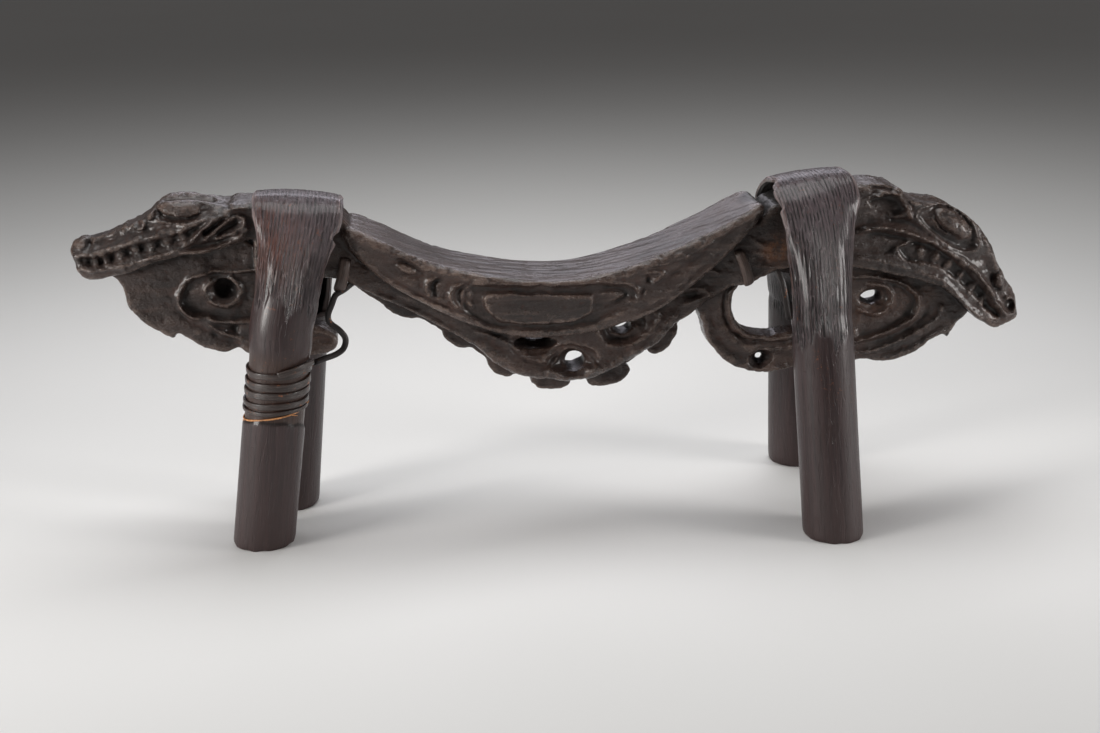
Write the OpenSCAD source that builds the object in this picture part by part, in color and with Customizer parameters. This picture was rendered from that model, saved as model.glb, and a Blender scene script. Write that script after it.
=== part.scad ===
// Carved wooden headrest bar held by two bent bamboo yokes, with cane braces and a lashing.
// The bar runs along X, its front faces -Y, and the feet stand on Z = 0.

/* [Carved bar] */
// Width of the saddle, front to back
saddle_w = 44; // [38:1:46]
// Thickness of the bar where the yokes hold it
beam_w = 28; // [24:1:30]
// Thickness of the openwork keel under the saddle
keel_w = 22; // [16:1:24]
// Thickness of the lower band, the loop and the throats
band_w = 15; // [12:1:16]
// Thickness of each animal head at the cheeks
head_w = 32; // [26:1:34]
// Thickness of the thin scalloped fin along the keel
fin_w = 9; // [6:1:12]
// Thickness of each snout at its tip
snout_w = 14; // [10:1:18]

/* [Bamboo yokes] */
// Outer radius of the bamboo
tube_r = 15; // [14.5:0.5:15.5]
// Wall of the bamboo
tube_wall = 4.6; // [4.2:0.1:5]
// Thickness of the shaved strap that passes over the bar
strap_t = 3.6; // [3:0.1:3.8]

/* [Cane] */
// Width of the split cane in the lashing
cane_w = 3.6; // [3:0.1:4]
// Thickness of the split cane
cane_t = 1.2; // [1:0.1:1.3]
// Turns of cane in the lashing
lashing_turns = 5; // [4:1:5]
// Radius of the thin fibre strand under the lashing
fibre_r = 0.6; // [0.5:0.1:0.8]

/* [Hidden] */
$fn = 48;
WOOD = [0.16, 0.11, 0.09];
BAMBOO = [0.22, 0.13, 0.12];
CANE = [0.14, 0.10, 0.08];
FIBRE = [0.62, 0.30, 0.12];

// The bar's top under each strap, and the gap left between pieces that touch
left_top = 167.4;
right_top = 170.4;
gap = 0.3;
spline_steps = 5;

// Eye radius, and how far its ball stands sunk in the cheek
eye_r = 6;
eye_sink = 3;
// Depth of a mouth pocket short of the snout's own half thickness
mouth_sink = 1;
// Radius of the small lobes along the keel, and of the ridges round the throat holes
lobe_r = 8;
ridge_r = 1.6;
// Radii of the round holes, left to right along the bar
LEFT_THROAT_HOLE = 4.6;
KEEL_HOLE = 4.2;
SHOULDER_HOLE = 3.4;
LOOP_HOLE = 1.8;
RIGHT_THROAT_HOLE = 4.2;

// Leg axes: foot on the floor, and the axis point where the tube turns into the strap
LEFT_FRONT = [[-153, -23, 0], [-139.5, -24.5, 100]];
LEFT_REAR = [[-142, 23, 0], [-132.5, 24.5, 100]];
RIGHT_FRONT = [[130, -49, 0], [122, -32, 118]];
RIGHT_REAR = [[138, 49, 0], [128, 32, 118]];
LEFT_STRAP_X = -126.5;
RIGHT_STRAP_X = 117;
// Height at which the inner half of each tube is cut away to let the bar in
LEFT_NOTCH = 86;
RIGHT_NOTCH = 112;
// Turn of each tube about its own axis
SEAM = 65;
// How far past its axis each tube still reaches where it is cut away
notch_lip = 2;
// How far the tube laps up over the strap, and how far the strap starts inside the tube's wall
lap_up = 2;
lap_down = 9;
// Half the bar's thickness at the strap's bend, and how far below the bar's top the bend starts
bend_out = 22.5;
bend_drop = 9;
// Long enough to pass through any part of the bar, and taller than everything
through = 80;
clear = 200;
// Centres of the saddle's two round ends
SADDLE_LEFT = -86;
SADDLE_RIGHT = 78;
// Distance up each leg to the solid wall between two bamboo joints, and that wall's thickness
NODE_WALL = 40;
NODE_THICK = 4;
// Size of the blocks that trim a leg, and how far the raw tube runs past both ends before trimming
BLOCK = 600;
SPARE = 20;

// Space between turns of the lashing, and how far up the leg the lashing and the fibre sit
TURN_GAP = 0.7;
LASHING_UP = 73;
FIBRE_UP = 68;

// Arcs of the strap: half its width in radians at the tube and over the bar
strap_half = (tube_r - tube_wall / 2) * PI / 2;
strap_flat = 14;
strap_sides = 8;

// ---- curves ----------------------------------------------------------------------------------

// One point of the smooth curve through p0..p3, between p1 and p2
function bend(p0, p1, p2, p3, t) =
    0.5 * (2 * p1 + (p2 - p0) * t + (2 * p0 - 5 * p1 + 4 * p2 - p3) * t * t
    + (3 * p1 - p0 - 3 * p2 + p3) * t * t * t);

// A smooth open curve through the points of p
function curve(p, steps = spline_steps) =
    let (last = len(p) - 1)
    [for (i = [0 : last - 1]) for (s = [0 : steps - 1])
        bend(p[max(i - 1, 0)], p[i], p[i + 1], p[min(i + 2, last)], s / steps),
     p[last]];

function unit(v) = v / norm(v);

// Direction of path p at its point i
function along(p, i) = unit(p[min(i + 1, len(p) - 1)] - p[max(i - 1, 0)]);

// Flat outline in X and Z, given a thickness along Y and centred on Y = 0
module plate(w) {
    rotate([90, 0, 0]) linear_extrude(w, center = true) children();
}

// Round hole along Y through the bar at [x, z]
module through_hole(at, r) {
    translate([at[0], 0, at[1]]) rotate([90, 0, 0]) cylinder(h = through, r = r, center = true);
}

// A closed strip swept through rings of points; each ring goes up one face and back down the other
module sweep(rings) {
    n = len(rings[0]);
    points = [for (ring = rings) for (q = ring) q];
    walls = [for (i = [0 : len(rings) - 2]) for (j = [0 : n - 1])
        let (k = (j + 1) % n)
        each [[i * n + j, i * n + k, (i + 1) * n + k], [i * n + j, (i + 1) * n + k, (i + 1) * n + j]]];
    start = [for (j = [0 : n / 2 - 2]) each [[j, n - 1 - j, n - 2 - j], [j, n - 2 - j, j + 1]]];
    b = (len(rings) - 1) * n;
    finish = [for (j = [0 : n / 2 - 2])
        each [[b + j, b + n - 2 - j, b + n - 1 - j], [b + j, b + j + 1, b + n - 2 - j]]];
    polyhedron(points, concat(walls, start, finish), convexity = 10);
}

// Rings of a flat strip w wide and t thick along path p; it lies flat against direction out
function strip_rings(p, w, t, out) = [for (i = [0 : len(p) - 1])
    let (
        d = along(p, i),
        side = unit(cross(d, out)),
        face = unit(cross(side, d))
    )
    [for (c = [[-1, -1], [1, -1], [1, 1], [-1, 1]])
        p[i] + side * c[0] * w / 2 + face * c[1] * t / 2]];

// ---- carved bar ------------------------------------------------------------------------------

module saddle() {
    top = [[-106, 154], [-97, 152], [-80, 143.5], [-60, 135.5], [-37, 130], [-12, 127], [8, 128.5],
           [27, 133], [47, 139.5], [73, 150], [90, 158.5], [99, 161]];
    bottom = [[93, 151], [79, 143], [54, 123], [40, 113], [24, 105], [6, 100.5], [-12, 100],
              [-31, 103], [-48, 109], [-64, 117], [-80, 127], [-99, 139.5]];
    intersection() {
        plate(saddle_w) polygon(concat(curve(top), curve(bottom)));
        linear_extrude(clear) union() {
            translate([SADDLE_LEFT, -saddle_w / 2]) square([SADDLE_RIGHT - SADDLE_LEFT, saddle_w]);
            translate([SADDLE_LEFT, 0]) circle(r = saddle_w / 2);
            translate([SADDLE_RIGHT, 0]) circle(r = saddle_w / 2);
        }
    }
}

// The upright web that joins both heads and hangs down as the keel
module web() {
    over = [[-148, left_top], [-106, left_top - 10], [-97, 148], [-80, 139], [-60, 131], [-37, 126],
            [-12, 123], [8, 124.5], [27, 129], [47, 135.5], [73, 146], [90, 154], [99, 160]];
    under = [[150, 131], [126, 130], [107, 128], [89, 121], [67, 109], [48, 92], [31, 80], [9, 72],
             [-6, 73], [-27, 78], [-43, 88], [-61, 102], [-73, 110], [-105, 127], [-150, 133]];
    difference() {
        plate(keel_w) polygon(concat(curve(over), [[146, right_top]], curve(under)));
        keel_openings();
    }
    // Thicker stretches that the straps grip
    plate(beam_w) polygon([[-150, 134], [-150, left_top], [-108, left_top], [-104, 153], [-92, 146],
                           [-92, 120], [-105, 127.5]]);
    plate(beam_w) polygon([[150, 131], [107, 128], [88, 121], [86, 150], [97, 160], [100, right_top],
                           [150, right_top]]);
}

module keel_openings() {
    through_hole([3, 84], KEEL_HOLE);
    through_hole([28, 97], SHOULDER_HOLE);
    plate(through) polygon([[-27, 91], [-20, 88], [-8, 88], [-4, 92], [-8, 95.5], [-22, 95.5]]);
}

// Row of small lobes along the keel's lower edge
module scalloped_fin() {
    lobes = [[-84, 118], [-68, 107], [-53, 96], [-37, 84], [-19, 77], [3, 73], [23, 76], [41, 88],
             [55, 101]];
    difference() {
        for (c = lobes)
            translate([c[0], 0, c[1]]) rotate([90, 0, 0]) cylinder(h = fin_w, r = lobe_r, center = true);
        keel_openings();
    }
}

// Band that leaves the keel as an open loop and runs below the right yoke to the throat
module right_loop() {
    outside = [[63, 108], [66, 98], [71, 89], [79, 81], [89, 75.5], [100, 73], [114, 74], [132, 75],
               [152, 76]];
    inside = [[152, 94], [132, 95], [114, 94], [104, 92.5], [95, 93.5], [87, 98.5], [84, 106],
              [85.5, 115], [92, 124]];
    difference() {
        plate(band_w) polygon(concat(curve(outside), curve(inside), [[74, 118]]));
        through_hole([99, 81], LOOP_HOLE);
    }
}

// Short lower band of the left end, broken off just past the yoke
module left_stub() {
    edge = [[-156, 93], [-140, 91], [-126, 90.5], [-117, 92], [-113, 98], [-118, 104], [-128, 106],
            [-140, 107], [-156, 109]];
    plate(band_w) polygon(curve(edge));
}

// Long low crocodile-like head that looks to the left, level
module left_head() {
    top = [[-236, 142], [-234, 148], [-229, 152], [-219, 154], [-208, 160], [-194, 168], [-184, 170.5],
           [-170, 169.5], [-156, 168], [-142, left_top]];
    jaw = [[-142, 138], [-160, 141], [-178, 139], [-194, 136], [-208, 133.5], [-220, 132.5],
           [-230, 133], [-235, 137]];
    plan = [[-237, snout_w / 2], [-222, snout_w / 2 + 2], [-200, head_w / 2 - 2], [-184, head_w / 2],
            [-160, head_w / 2], [-140, beam_w / 2]];
    mouth = [[-232, 142], [-222, 143.5], [-205, 146], [-186, 151], [-170, 156], [-186, 157],
             [-205, 151], [-222, 147]];
    difference() {
        intersection() {
            plate(head_w) polygon(concat(curve(top), curve(jaw)));
            plan_outline(plan);
        }
        cheek_pockets(snout_w / 2 - mouth_sink) polygon(mouth);
    }
    for (side = [-1, 1])
        translate([-177, side * (head_w / 2 - eye_sink), 162.5]) sphere(r = eye_r);
}

// Head that looks down to the right
module right_head() {
    top = [[142, right_top], [154, 171], [165, 167], [177, 161], [190, 157], [201, 150], [211, 141],
           [220, 128], [229, 115], [235, 104]];
    jaw = [[236, 98], [232, 92], [223, 90], [212, 95], [203, 104], [190, 112], [174, 118], [158, 122],
           [142, 126]];
    plan = [[142, beam_w / 2], [160, head_w / 2], [198, head_w / 2], [214, head_w / 2 - 3],
            [228, snout_w / 2 + 2], [237, snout_w / 2]];
    mouth = [[228, 97], [219, 102], [208, 112], [190, 124], [166, 132], [168, 141], [190, 134],
             [208, 121], [221, 107]];
    difference() {
        intersection() {
            plate(head_w) polygon(concat(curve(top), curve(jaw)));
            plan_outline(plan);
        }
        cheek_pockets(snout_w / 2 - mouth_sink) polygon(mouth);
    }
    for (side = [-1, 1])
        translate([198, side * (head_w / 2 - eye_sink), 146]) sphere(r = eye_r);
}

// Upright prism whose plan is the curve through p and its mirror image
module plan_outline(p) {
    edge = curve(p);
    mirrored = [for (i = [len(edge) - 1 : -1 : 0]) [edge[i][0], -edge[i][1]]];
    linear_extrude(clear) polygon(concat(edge, mirrored));
}

// Cuts the outline into both cheeks, down to a core of half thickness deep
module cheek_pockets(deep) {
    for (side = [-1, 1])
        translate([0, side * (deep + head_w / 2), 0]) plate(head_w) children();
}

// Thin pierced throat under a head, with a raised ring round its hole on both sides
module left_throat() {
    edge = [[-216, 136], [-214, 127], [-211, 118], [-203, 109], [-192, 103], [-180, 98], [-168, 94],
            [-156, 93], [-143, 92]];
    at = [-165, 125];
    difference() {
        plate(band_w) polygon(concat(curve(edge), [[-143, 150], [-210, 146]]));
        through_hole(at, LEFT_THROAT_HOLE);
    }
    spiral_rings(at, [8.5, 18]);
}

module right_throat() {
    edge = [[135, 76], [148, 76], [160, 75], [170, 76.5], [182, 81], [191, 87], [197, 88], [202, 94],
            [208, 100]];
    at = [155, 111];
    difference() {
        plate(band_w) polygon(concat(curve(edge), [[206, 112], [148, 134], [135, 134]]));
        through_hole(at, RIGHT_THROAT_HOLE);
    }
    spiral_rings(at, [8.5, 17]);
}

module spiral_rings(at, radii) {
    for (side = [-1, 1], r = radii)
        translate([at[0], side * band_w / 2, at[1]]) rotate([90, 0, 0])
            rotate_extrude($fn = 64) translate([r, 0]) circle(r = ridge_r, $fn = 24);
}

module carved_bar() {
    color(WOOD) union() {
        saddle();
        web();
        scalloped_fin();
        right_loop();
        left_stub();
        left_head();
        right_head();
        left_throat();
        right_throat();
    }
}

// ---- bamboo yokes ----------------------------------------------------------------------------

// Point on a leg's axis at height z
function axis_at(leg, z) = leg[0] + (leg[1] - leg[0]) * z / leg[1][2];

// Straight hollow leg standing on the floor, its inner half cut away above the notch
module leg(axis, notch) {
    up = axis[1] - axis[0];
    lean = acos(unit(up)[2]);
    turn = atan2(up[1], up[0]);
    inward = axis[0][1] < 0 ? 1 : -1;
    top_z = axis[1][2] + lap_up;
    difference() {
        translate(axis[0]) rotate([0, lean, turn]) rotate([0, 0, SEAM]) difference() {
            translate([0, 0, -SPARE]) cylinder(h = norm(up) + 2 * SPARE, r = tube_r);
            translate([0, 0, -2 * SPARE]) cylinder(h = 2 * SPARE + NODE_WALL, r = tube_r - tube_wall);
            translate([0, 0, NODE_WALL + NODE_THICK]) cylinder(h = norm(up), r = tube_r - tube_wall);
        }
        translate([0, 0, -BLOCK / 2]) cube(BLOCK, center = true);
        translate([0, 0, top_z + BLOCK / 2]) cube(BLOCK, center = true);
        translate([axis[1][0], axis[1][1] + inward * (2 * tube_r + notch_lip), notch + 2 * tube_r])
            cube(4 * tube_r, center = true);
    }
}

// Half a strap's path: up from a leg and in over the bar at x
function strap_rise(leg, x, bar_top) =
    let (
        side = leg[0][1] < 0 ? -1 : 1,
        z0 = leg[1][2],
        r = tube_r - tube_wall / 2,
        a = axis_at(leg, z0 - lap_down) + [0, side * r, 0],
        b = axis_at(leg, z0 + lap_up + 1) + [0, side * r, 0],
        top = bar_top + gap + strap_t / 2
    )
    [a, b,
     [(b[0] + x) / 2, side * (abs(b[1]) * 0.55 + bend_out / 2), (z0 + bar_top - bend_drop) / 2],
     [x, side * bend_out, bar_top - bend_drop], [x, side * (bend_out - 4), top - 3],
     [x, side * bend_out / 2, top - 0.2]];

// Rings of the strap, half round at both legs and nearly flat over the bar
function strap_rings(p) =
    [for (i = [0 : len(p) - 1])
        let (
            d = along(p, i),
            w = unit([1, 0, 0] - d * d[0]),
            out = cross(w, d),
            rise = min(1, max(0, min(i, len(p) - 1 - i) / (len(p) / 3.2) - 0.2)),
            half_angle = 90 - (90 - strap_flat) * rise * rise * (3 - 2 * rise),
            r = strap_half / (half_angle * PI / 180)
        )
        concat(strap_arc(p[i], w, out, r, strap_t / 2, half_angle),
               strap_arc(p[i], w, out, r, -strap_t / 2, -half_angle))];

// Arc of the strap's outer or inner face, from one edge to the other, about a centre r below at
function strap_arc(at, w, out, r, offset, half_angle) =
    [for (k = [0 : strap_sides])
        let (a = half_angle * (1 - 2 * k / strap_sides))
        at + w * (r + offset) * sin(a) + out * ((r + offset) * cos(a) - r)];

module strap(front, rear, x, bar_top) {
    rise = strap_rise(front, x, bar_top);
    fall = strap_rise(rear, x, bar_top);
    top = [x, 0, bar_top + gap + strap_t / 2];
    last = len(fall) - 1;
    path = curve(concat(rise, [top], [for (i = [last : -1 : 0]) fall[i]]), 4);
    sweep(strap_rings(path));
}

module left_yoke() {
    color(BAMBOO) union() {
        leg(LEFT_FRONT, LEFT_NOTCH);
        leg(LEFT_REAR, LEFT_NOTCH);
        strap(LEFT_FRONT, LEFT_REAR, LEFT_STRAP_X, left_top);
    }
}

module right_yoke() {
    color(BAMBOO) union() {
        leg(RIGHT_FRONT, RIGHT_NOTCH);
        leg(RIGHT_REAR, RIGHT_NOTCH);
        strap(RIGHT_FRONT, RIGHT_REAR, RIGHT_STRAP_X, right_top);
    }
}

// ---- cane ------------------------------------------------------------------------------------

// Strip that hooks over the beam's front, snakes down round the stub and ends at the leg
module left_brace() {
    route = [[-107.4, -15.5, 141], [-108.6, -15.5, 134], [-110.4, -16, 127.5], [-112.8, -17, 123.5],
             [-114.5, -17.5, 118.5], [-116.4, -18, 113.5], [-115, -18, 109.5], [-110.8, -18, 106],
             [-108.6, -18, 101.5], [-109.8, -19, 96.8], [-113.6, -20, 94.4], [-119.4, -21, 93.2],
             [-123.6, -22.5, 91.8]];
    color(CANE) sweep(strip_rings(curve(route, 3), cane_w, cane_t, [0, -1, 0.2]));
}

// Strip that hooks over the beam's front, runs under it and down beside the leg
module right_brace() {
    route = [[84.5, -15.5, 140.5], [86.2, -15.5, 135.5], [88, -15.5, 129.5], [89.8, -15.5, 124.5],
             [93.5, -15.5, 121.5], [98.5, -15.5, 123.5], [103.2, -15.5, 124.8], [106.4, -15.5, 120.5],
             [108.4, -15.5, 113.5], [110.3, -15.5, 106], [111.4, -15.5, 101.5]];
    color(CANE) sweep(strip_rings(curve(route, 3), cane_w, cane_t, [0, -1, 0]));
}

// Frame of the left front leg: children are placed on its axis, a distance up from the foot
module on_left_leg(up) {
    rise = LEFT_FRONT[1] - LEFT_FRONT[0];
    translate(LEFT_FRONT[0]) rotate([0, acos(unit(rise)[2]), atan2(rise[1], rise[0])])
        translate([0, 0, up]) children();
}

// Flat cane wound round the leg, each turn just clear of the one below
module left_leg_lashing() {
    steps = 24;
    pitch = cane_w + TURN_GAP;
    r = tube_r + gap + cane_t / 2;
    wind = [for (i = [0 : steps * lashing_turns])
        let (a = 360 * i / steps)
        [for (c = [[-1, -1], [-1, 1], [1, 1], [1, -1]])
            let (s = r + c[0] * cane_t / 2)
            [s * cos(a), s * sin(a), pitch * i / steps + c[1] * cane_w / 2]]];
    color(CANE) on_left_leg(LASHING_UP) sweep(wind);
}

// Thin strand tied round the leg just under the lashing
module left_lashing_fibre() {
    color(FIBRE) on_left_leg(FIBRE_UP) rotate_extrude($fn = 64)
        translate([tube_r + gap + fibre_r, 0]) circle(r = fibre_r, $fn = 24);
}

carved_bar();
left_yoke();
right_yoke();
left_brace();
right_brace();
left_leg_lashing();
left_lashing_fibre();
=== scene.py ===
import math
import bpy
import numpy as np
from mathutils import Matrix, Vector


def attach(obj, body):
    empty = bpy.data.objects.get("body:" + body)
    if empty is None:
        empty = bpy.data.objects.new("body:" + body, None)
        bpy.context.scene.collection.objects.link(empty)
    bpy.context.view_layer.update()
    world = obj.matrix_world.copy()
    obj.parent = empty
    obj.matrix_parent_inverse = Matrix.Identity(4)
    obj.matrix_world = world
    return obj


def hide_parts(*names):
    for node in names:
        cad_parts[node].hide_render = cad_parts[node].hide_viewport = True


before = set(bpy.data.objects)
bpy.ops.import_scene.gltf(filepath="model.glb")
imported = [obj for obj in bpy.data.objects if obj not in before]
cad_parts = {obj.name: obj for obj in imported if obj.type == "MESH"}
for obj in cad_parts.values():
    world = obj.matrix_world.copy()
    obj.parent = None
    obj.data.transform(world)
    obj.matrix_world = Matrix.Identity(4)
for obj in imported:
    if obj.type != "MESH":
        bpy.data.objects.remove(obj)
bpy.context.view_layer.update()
BAR_TRIANGLES = 190000  # target triangle count for the carved bar; the limit for each piece is 200,000
MM = 0.001  # the shapes below are worked out in millimetres, in the CAD frame

# ---- curves and flat distance fields ---------------------------------------------------------


def spline(points, steps=6, closed=False):
    """A smooth curve through given points, as an array."""
    p = np.array(points, float)
    n = len(p)
    if closed:
        around = np.vstack([p[-1], p, p[0], p[1]])
    else:
        around = np.vstack([2 * p[0] - p[1], p, 2 * p[-1] - p[-2]])
    spans = n if closed else n - 1
    out = []
    for i in range(spans):
        a, b, c, d = around[i], around[i + 1], around[i + 2], around[i + 3]
        for t in np.arange(steps) / steps:
            out.append(0.5 * (2 * b + (c - a) * t + (2 * a - 5 * b + 4 * c - d) * t ** 2
                              + (3 * b - a - 3 * c + d) * t ** 3))
    if not closed:
        out.append(p[-1])
    return np.array(out)


def smoothstep(a, b, x):
    t = np.clip((x - a) / (b - a), 0, 1)
    return t * t * (3 - 2 * t)


def smooth_max(a, b, k):
    h = np.clip(0.5 + 0.5 * (a - b) / k, 0, 1)
    return b + (a - b) * h + k * h * (1 - h)


def smooth_min(a, b, k):
    return -smooth_max(-a, -b, k)


def value_noise(x, z, cell, seed):
    """Smooth noise from -1 to 1 over two coordinates; cell is its size along each."""
    u, v = x / cell[0], z / cell[1]
    iu, iv = np.floor(u).astype(np.int64), np.floor(v).astype(np.int64)
    fu, fv = u - iu, v - iv
    fu, fv = fu * fu * (3 - 2 * fu), fv * fv * (3 - 2 * fv)

    def corner(i, j):
        h = (i * 374761393 + j * 668265263 + seed * 144665) & 0xffffffff
        h = ((h ^ (h >> 13)) * 1274126177) & 0xffffffff
        return ((h ^ (h >> 16)) & 0xffff) / 32767.5 - 1

    low = corner(iu, iv) * (1 - fu) + corner(iu + 1, iv) * fu
    high = corner(iu, iv + 1) * (1 - fu) + corner(iu + 1, iv + 1) * fu
    return low * (1 - fv) + high * fv


GRID = 0.7
LOW = np.array([-243.0, -27.0, 60.0])
HIGH = np.array([243.0, 27.0, 177.0])
SHAPE = np.ceil((HIGH - LOW) / GRID).astype(int) + 1
XS = LOW[0] + GRID * np.arange(SHAPE[0])
YS = LOW[1] + GRID * np.arange(SHAPE[1])
ZS = LOW[2] + GRID * np.arange(SHAPE[2])
X, Z = np.meshgrid(XS, ZS, indexing="ij")
FAR = 30.0
# No line carved by hand is quite true: shapes are drawn on a grid that wanders a little
XW = X + 0.5 * value_noise(X, Z, (7, 7), 101) + 0.26 * value_noise(X, Z, (2.3, 2.3), 102)
ZW = Z + 0.5 * value_noise(X, Z, (7, 7), 103) + 0.26 * value_noise(X, Z, (2.3, 2.3), 104)
UNEVEN = 1 + 0.32 * value_noise(X, Z, (4.2, 4.2), 105) + 0.22 * value_noise(X, Z, (1.7, 1.7), 106)


def window(points, margin):
    lo, hi = points.min(0) - margin, points.max(0) + margin
    i0, i1 = np.searchsorted(XS, [lo[0], hi[0]])
    k0, k1 = np.searchsorted(ZS, [lo[1], hi[1]])
    return slice(i0, max(i1, i0 + 1)), slice(k0, max(k1, k0 + 1))


def segment_distance(x, z, a, b):
    """Distance to a segment, and how far along it the nearest point is, from 0 to 1."""
    d = b - a
    t = np.clip(((x - a[0]) * d[0] + (z - a[1]) * d[1]) / max(d @ d, 1e-9), 0, 1)
    return np.hypot(x - a[0] - t * d[0], z - a[1] - t * d[1]), t


def outline(points, margin=14.0, uneven=True):
    """Signed distance to a closed outline in X and Z, negative inside."""
    p = np.array(points, float)
    field = np.full(X.shape, FAR)
    w = window(p, margin)
    x, z = (XW[w], ZW[w]) if uneven else (X[w], Z[w])
    near = np.full(x.shape, 1e3)
    inside = np.zeros(x.shape, bool)
    for a, b in zip(p, np.roll(p, -1, axis=0)):
        near = np.minimum(near, segment_distance(x, z, a, b)[0])
        if a[1] != b[1]:
            cross = (z > min(a[1], b[1])) & (z <= max(a[1], b[1]))
            inside ^= cross & (x < a[0] + (z - a[1]) * (b[0] - a[0]) / (b[1] - a[1]))
    field[w] = np.where(inside, -near, near)
    return field


def ellipse(at, radii, turn=0.0):
    """Rough signed distance to an ellipse, turned by so many degrees."""
    c, s = math.cos(math.radians(turn)), math.sin(math.radians(turn))
    u = ((XW - at[0]) * c + (ZW - at[1]) * s) / radii[0]
    v = (-(XW - at[0]) * s + (ZW - at[1]) * c) / radii[1]
    return (np.hypot(u, v) - 1) * min(radii)


class Relief:
    """Half thickness of one flat part over X and Z, with ridges, grooves, domes and hollows on it."""

    def __init__(self, thickness):
        self.t = np.zeros(X.shape) + thickness

    def line(self, points, width, height, ends=0.25, curve=True):
        """A ridge, or a groove where height is negative, that fades out at its ends."""
        p = spline(points) if curve and len(points) > 2 else np.array(points, float)
        w = window(p, width * 3)
        x, z = XW[w], ZW[w]
        near = np.full(x.shape, 1e3)
        at = np.zeros(x.shape)
        n = len(p) - 1
        for i in range(n):
            d, t = segment_distance(x, z, p[i], p[i + 1])
            closer = d < near
            near = np.where(closer, d, near)
            at = np.where(closer, (i + t) / n, at)
        fade = 1.0
        if ends:
            fade = smoothstep(0, ends, at + 0.02) * smoothstep(0, ends, 1.02 - at)
        bump = np.exp(-(near / width) ** 2) * height * fade * UNEVEN[w]
        self.t[w] += bump

    def area(self, field, height, soft=1.2):
        """Raises, or sinks, the inside of a field, with a slope soft wide at its edge."""
        self.t += height * smoothstep(soft / 2, -soft / 2, field)

    def dome(self, at, radii, height, turn=0.0, power=0.5):
        """A round boss, or a bowl where height is negative."""
        c, s = math.cos(math.radians(turn)), math.sin(math.radians(turn))
        u = ((XW - at[0]) * c + (ZW - at[1]) * s) / radii[0]
        v = (-(XW - at[0]) * s + (ZW - at[1]) * c) / radii[1]
        bump = np.clip(1 - u * u - v * v, 0, 1) ** power
        self.t += height * bump

    def step(self, points, height, soft=1.0, curve=True):
        """Raises, or sinks, the inside of a closed outline."""
        p = spline(points, closed=True) if curve else points
        self.area(outline(p), height, soft)


# ---- the carved bar --------------------------------------------------------------------------

FIELD = np.full(SHAPE, FAR, np.float32)
Y_ABS = np.abs(YS)[None, :, None]
Y_SIDE = YS[None, :, None]


def add_plate(flat, front, back=None, edge=1.5, blend=0.6):
    """Joins a plate to the bar: flat outline field, relief on each face, edges rounded by edge."""
    global FIELD
    back = back or front
    rows = np.where((flat < 6).any(axis=1))[0]
    cols = np.where((flat < 6).any(axis=0))[0]
    i = slice(rows[0], rows[-1] + 1)
    k = slice(cols[0], cols[-1] + 1)
    thick = np.where(Y_SIDE < 0, front.t[i, None, k], back.t[i, None, k])
    solid = smooth_max(flat[i, None, k], Y_ABS - thick, edge).astype(np.float32)
    FIELD[i, :, k] = smooth_min(FIELD[i, :, k], solid, blend)


def cut(flat, soft=1.0, pinch=0.0):
    """Cuts a hole right through the bar; it narrows by pinch towards the back."""
    global FIELD
    rows = np.where((flat < 4).any(axis=1))[0]
    i = slice(rows[0], rows[-1] + 1)
    narrow = pinch * smoothstep(-3.5, 2.5, Y_SIDE)
    FIELD[i] = smooth_max(FIELD[i], (-flat[i, None, :] - narrow).astype(np.float32), soft)


def valley(x_from, x_to, line, depth, width):
    """Sinks the top of a head between its two brows; line gives the brows' height against X."""
    global FIELD
    i = slice(*np.searchsorted(XS, [x_from, x_to]))
    x = XS[i, None, None]
    ends = smoothstep(x_from, x_from + 7, x) * smoothstep(x_to, x_to - 7, x)
    top = np.interp(x, *np.array(line).T) - depth * np.exp(-(Y_SIDE / width) ** 2) * ends + 3 * (1 - ends)
    FIELD[i] = smooth_max(FIELD[i], (ZS[None, None, :] - top).astype(np.float32), 1.2)


SADDLE_TOP = [(-108.6, 151.5), (-107.2, 154.6), (-103.4, 155.4), (-98, 153.4), (-88, 148.6), (-77, 143),
              (-60, 136), (-37, 130.5), (-14, 127.5), (6, 128), (27, 132.5), (47, 139.5), (70, 149.5),
              (84, 156.8), (90.5, 160.4), (94.4, 161.2), (96.8, 159.6)]
SADDLE_LOW = [(96.6, 156.6), (94, 153), (90, 148.6), (83.5, 142), (69.5, 128.2), (53, 115.2), (38, 106.6),
              (21, 101.4), (5, 98.6), (-14, 97.6), (-28, 99), (-42, 103.4), (-56, 109.2), (-73, 118.6),
              (-87, 127.4), (-99, 137.8), (-105.6, 145.2), (-108, 148.6)]
SADDLE_HALF_WIDTH = 22.0


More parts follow.
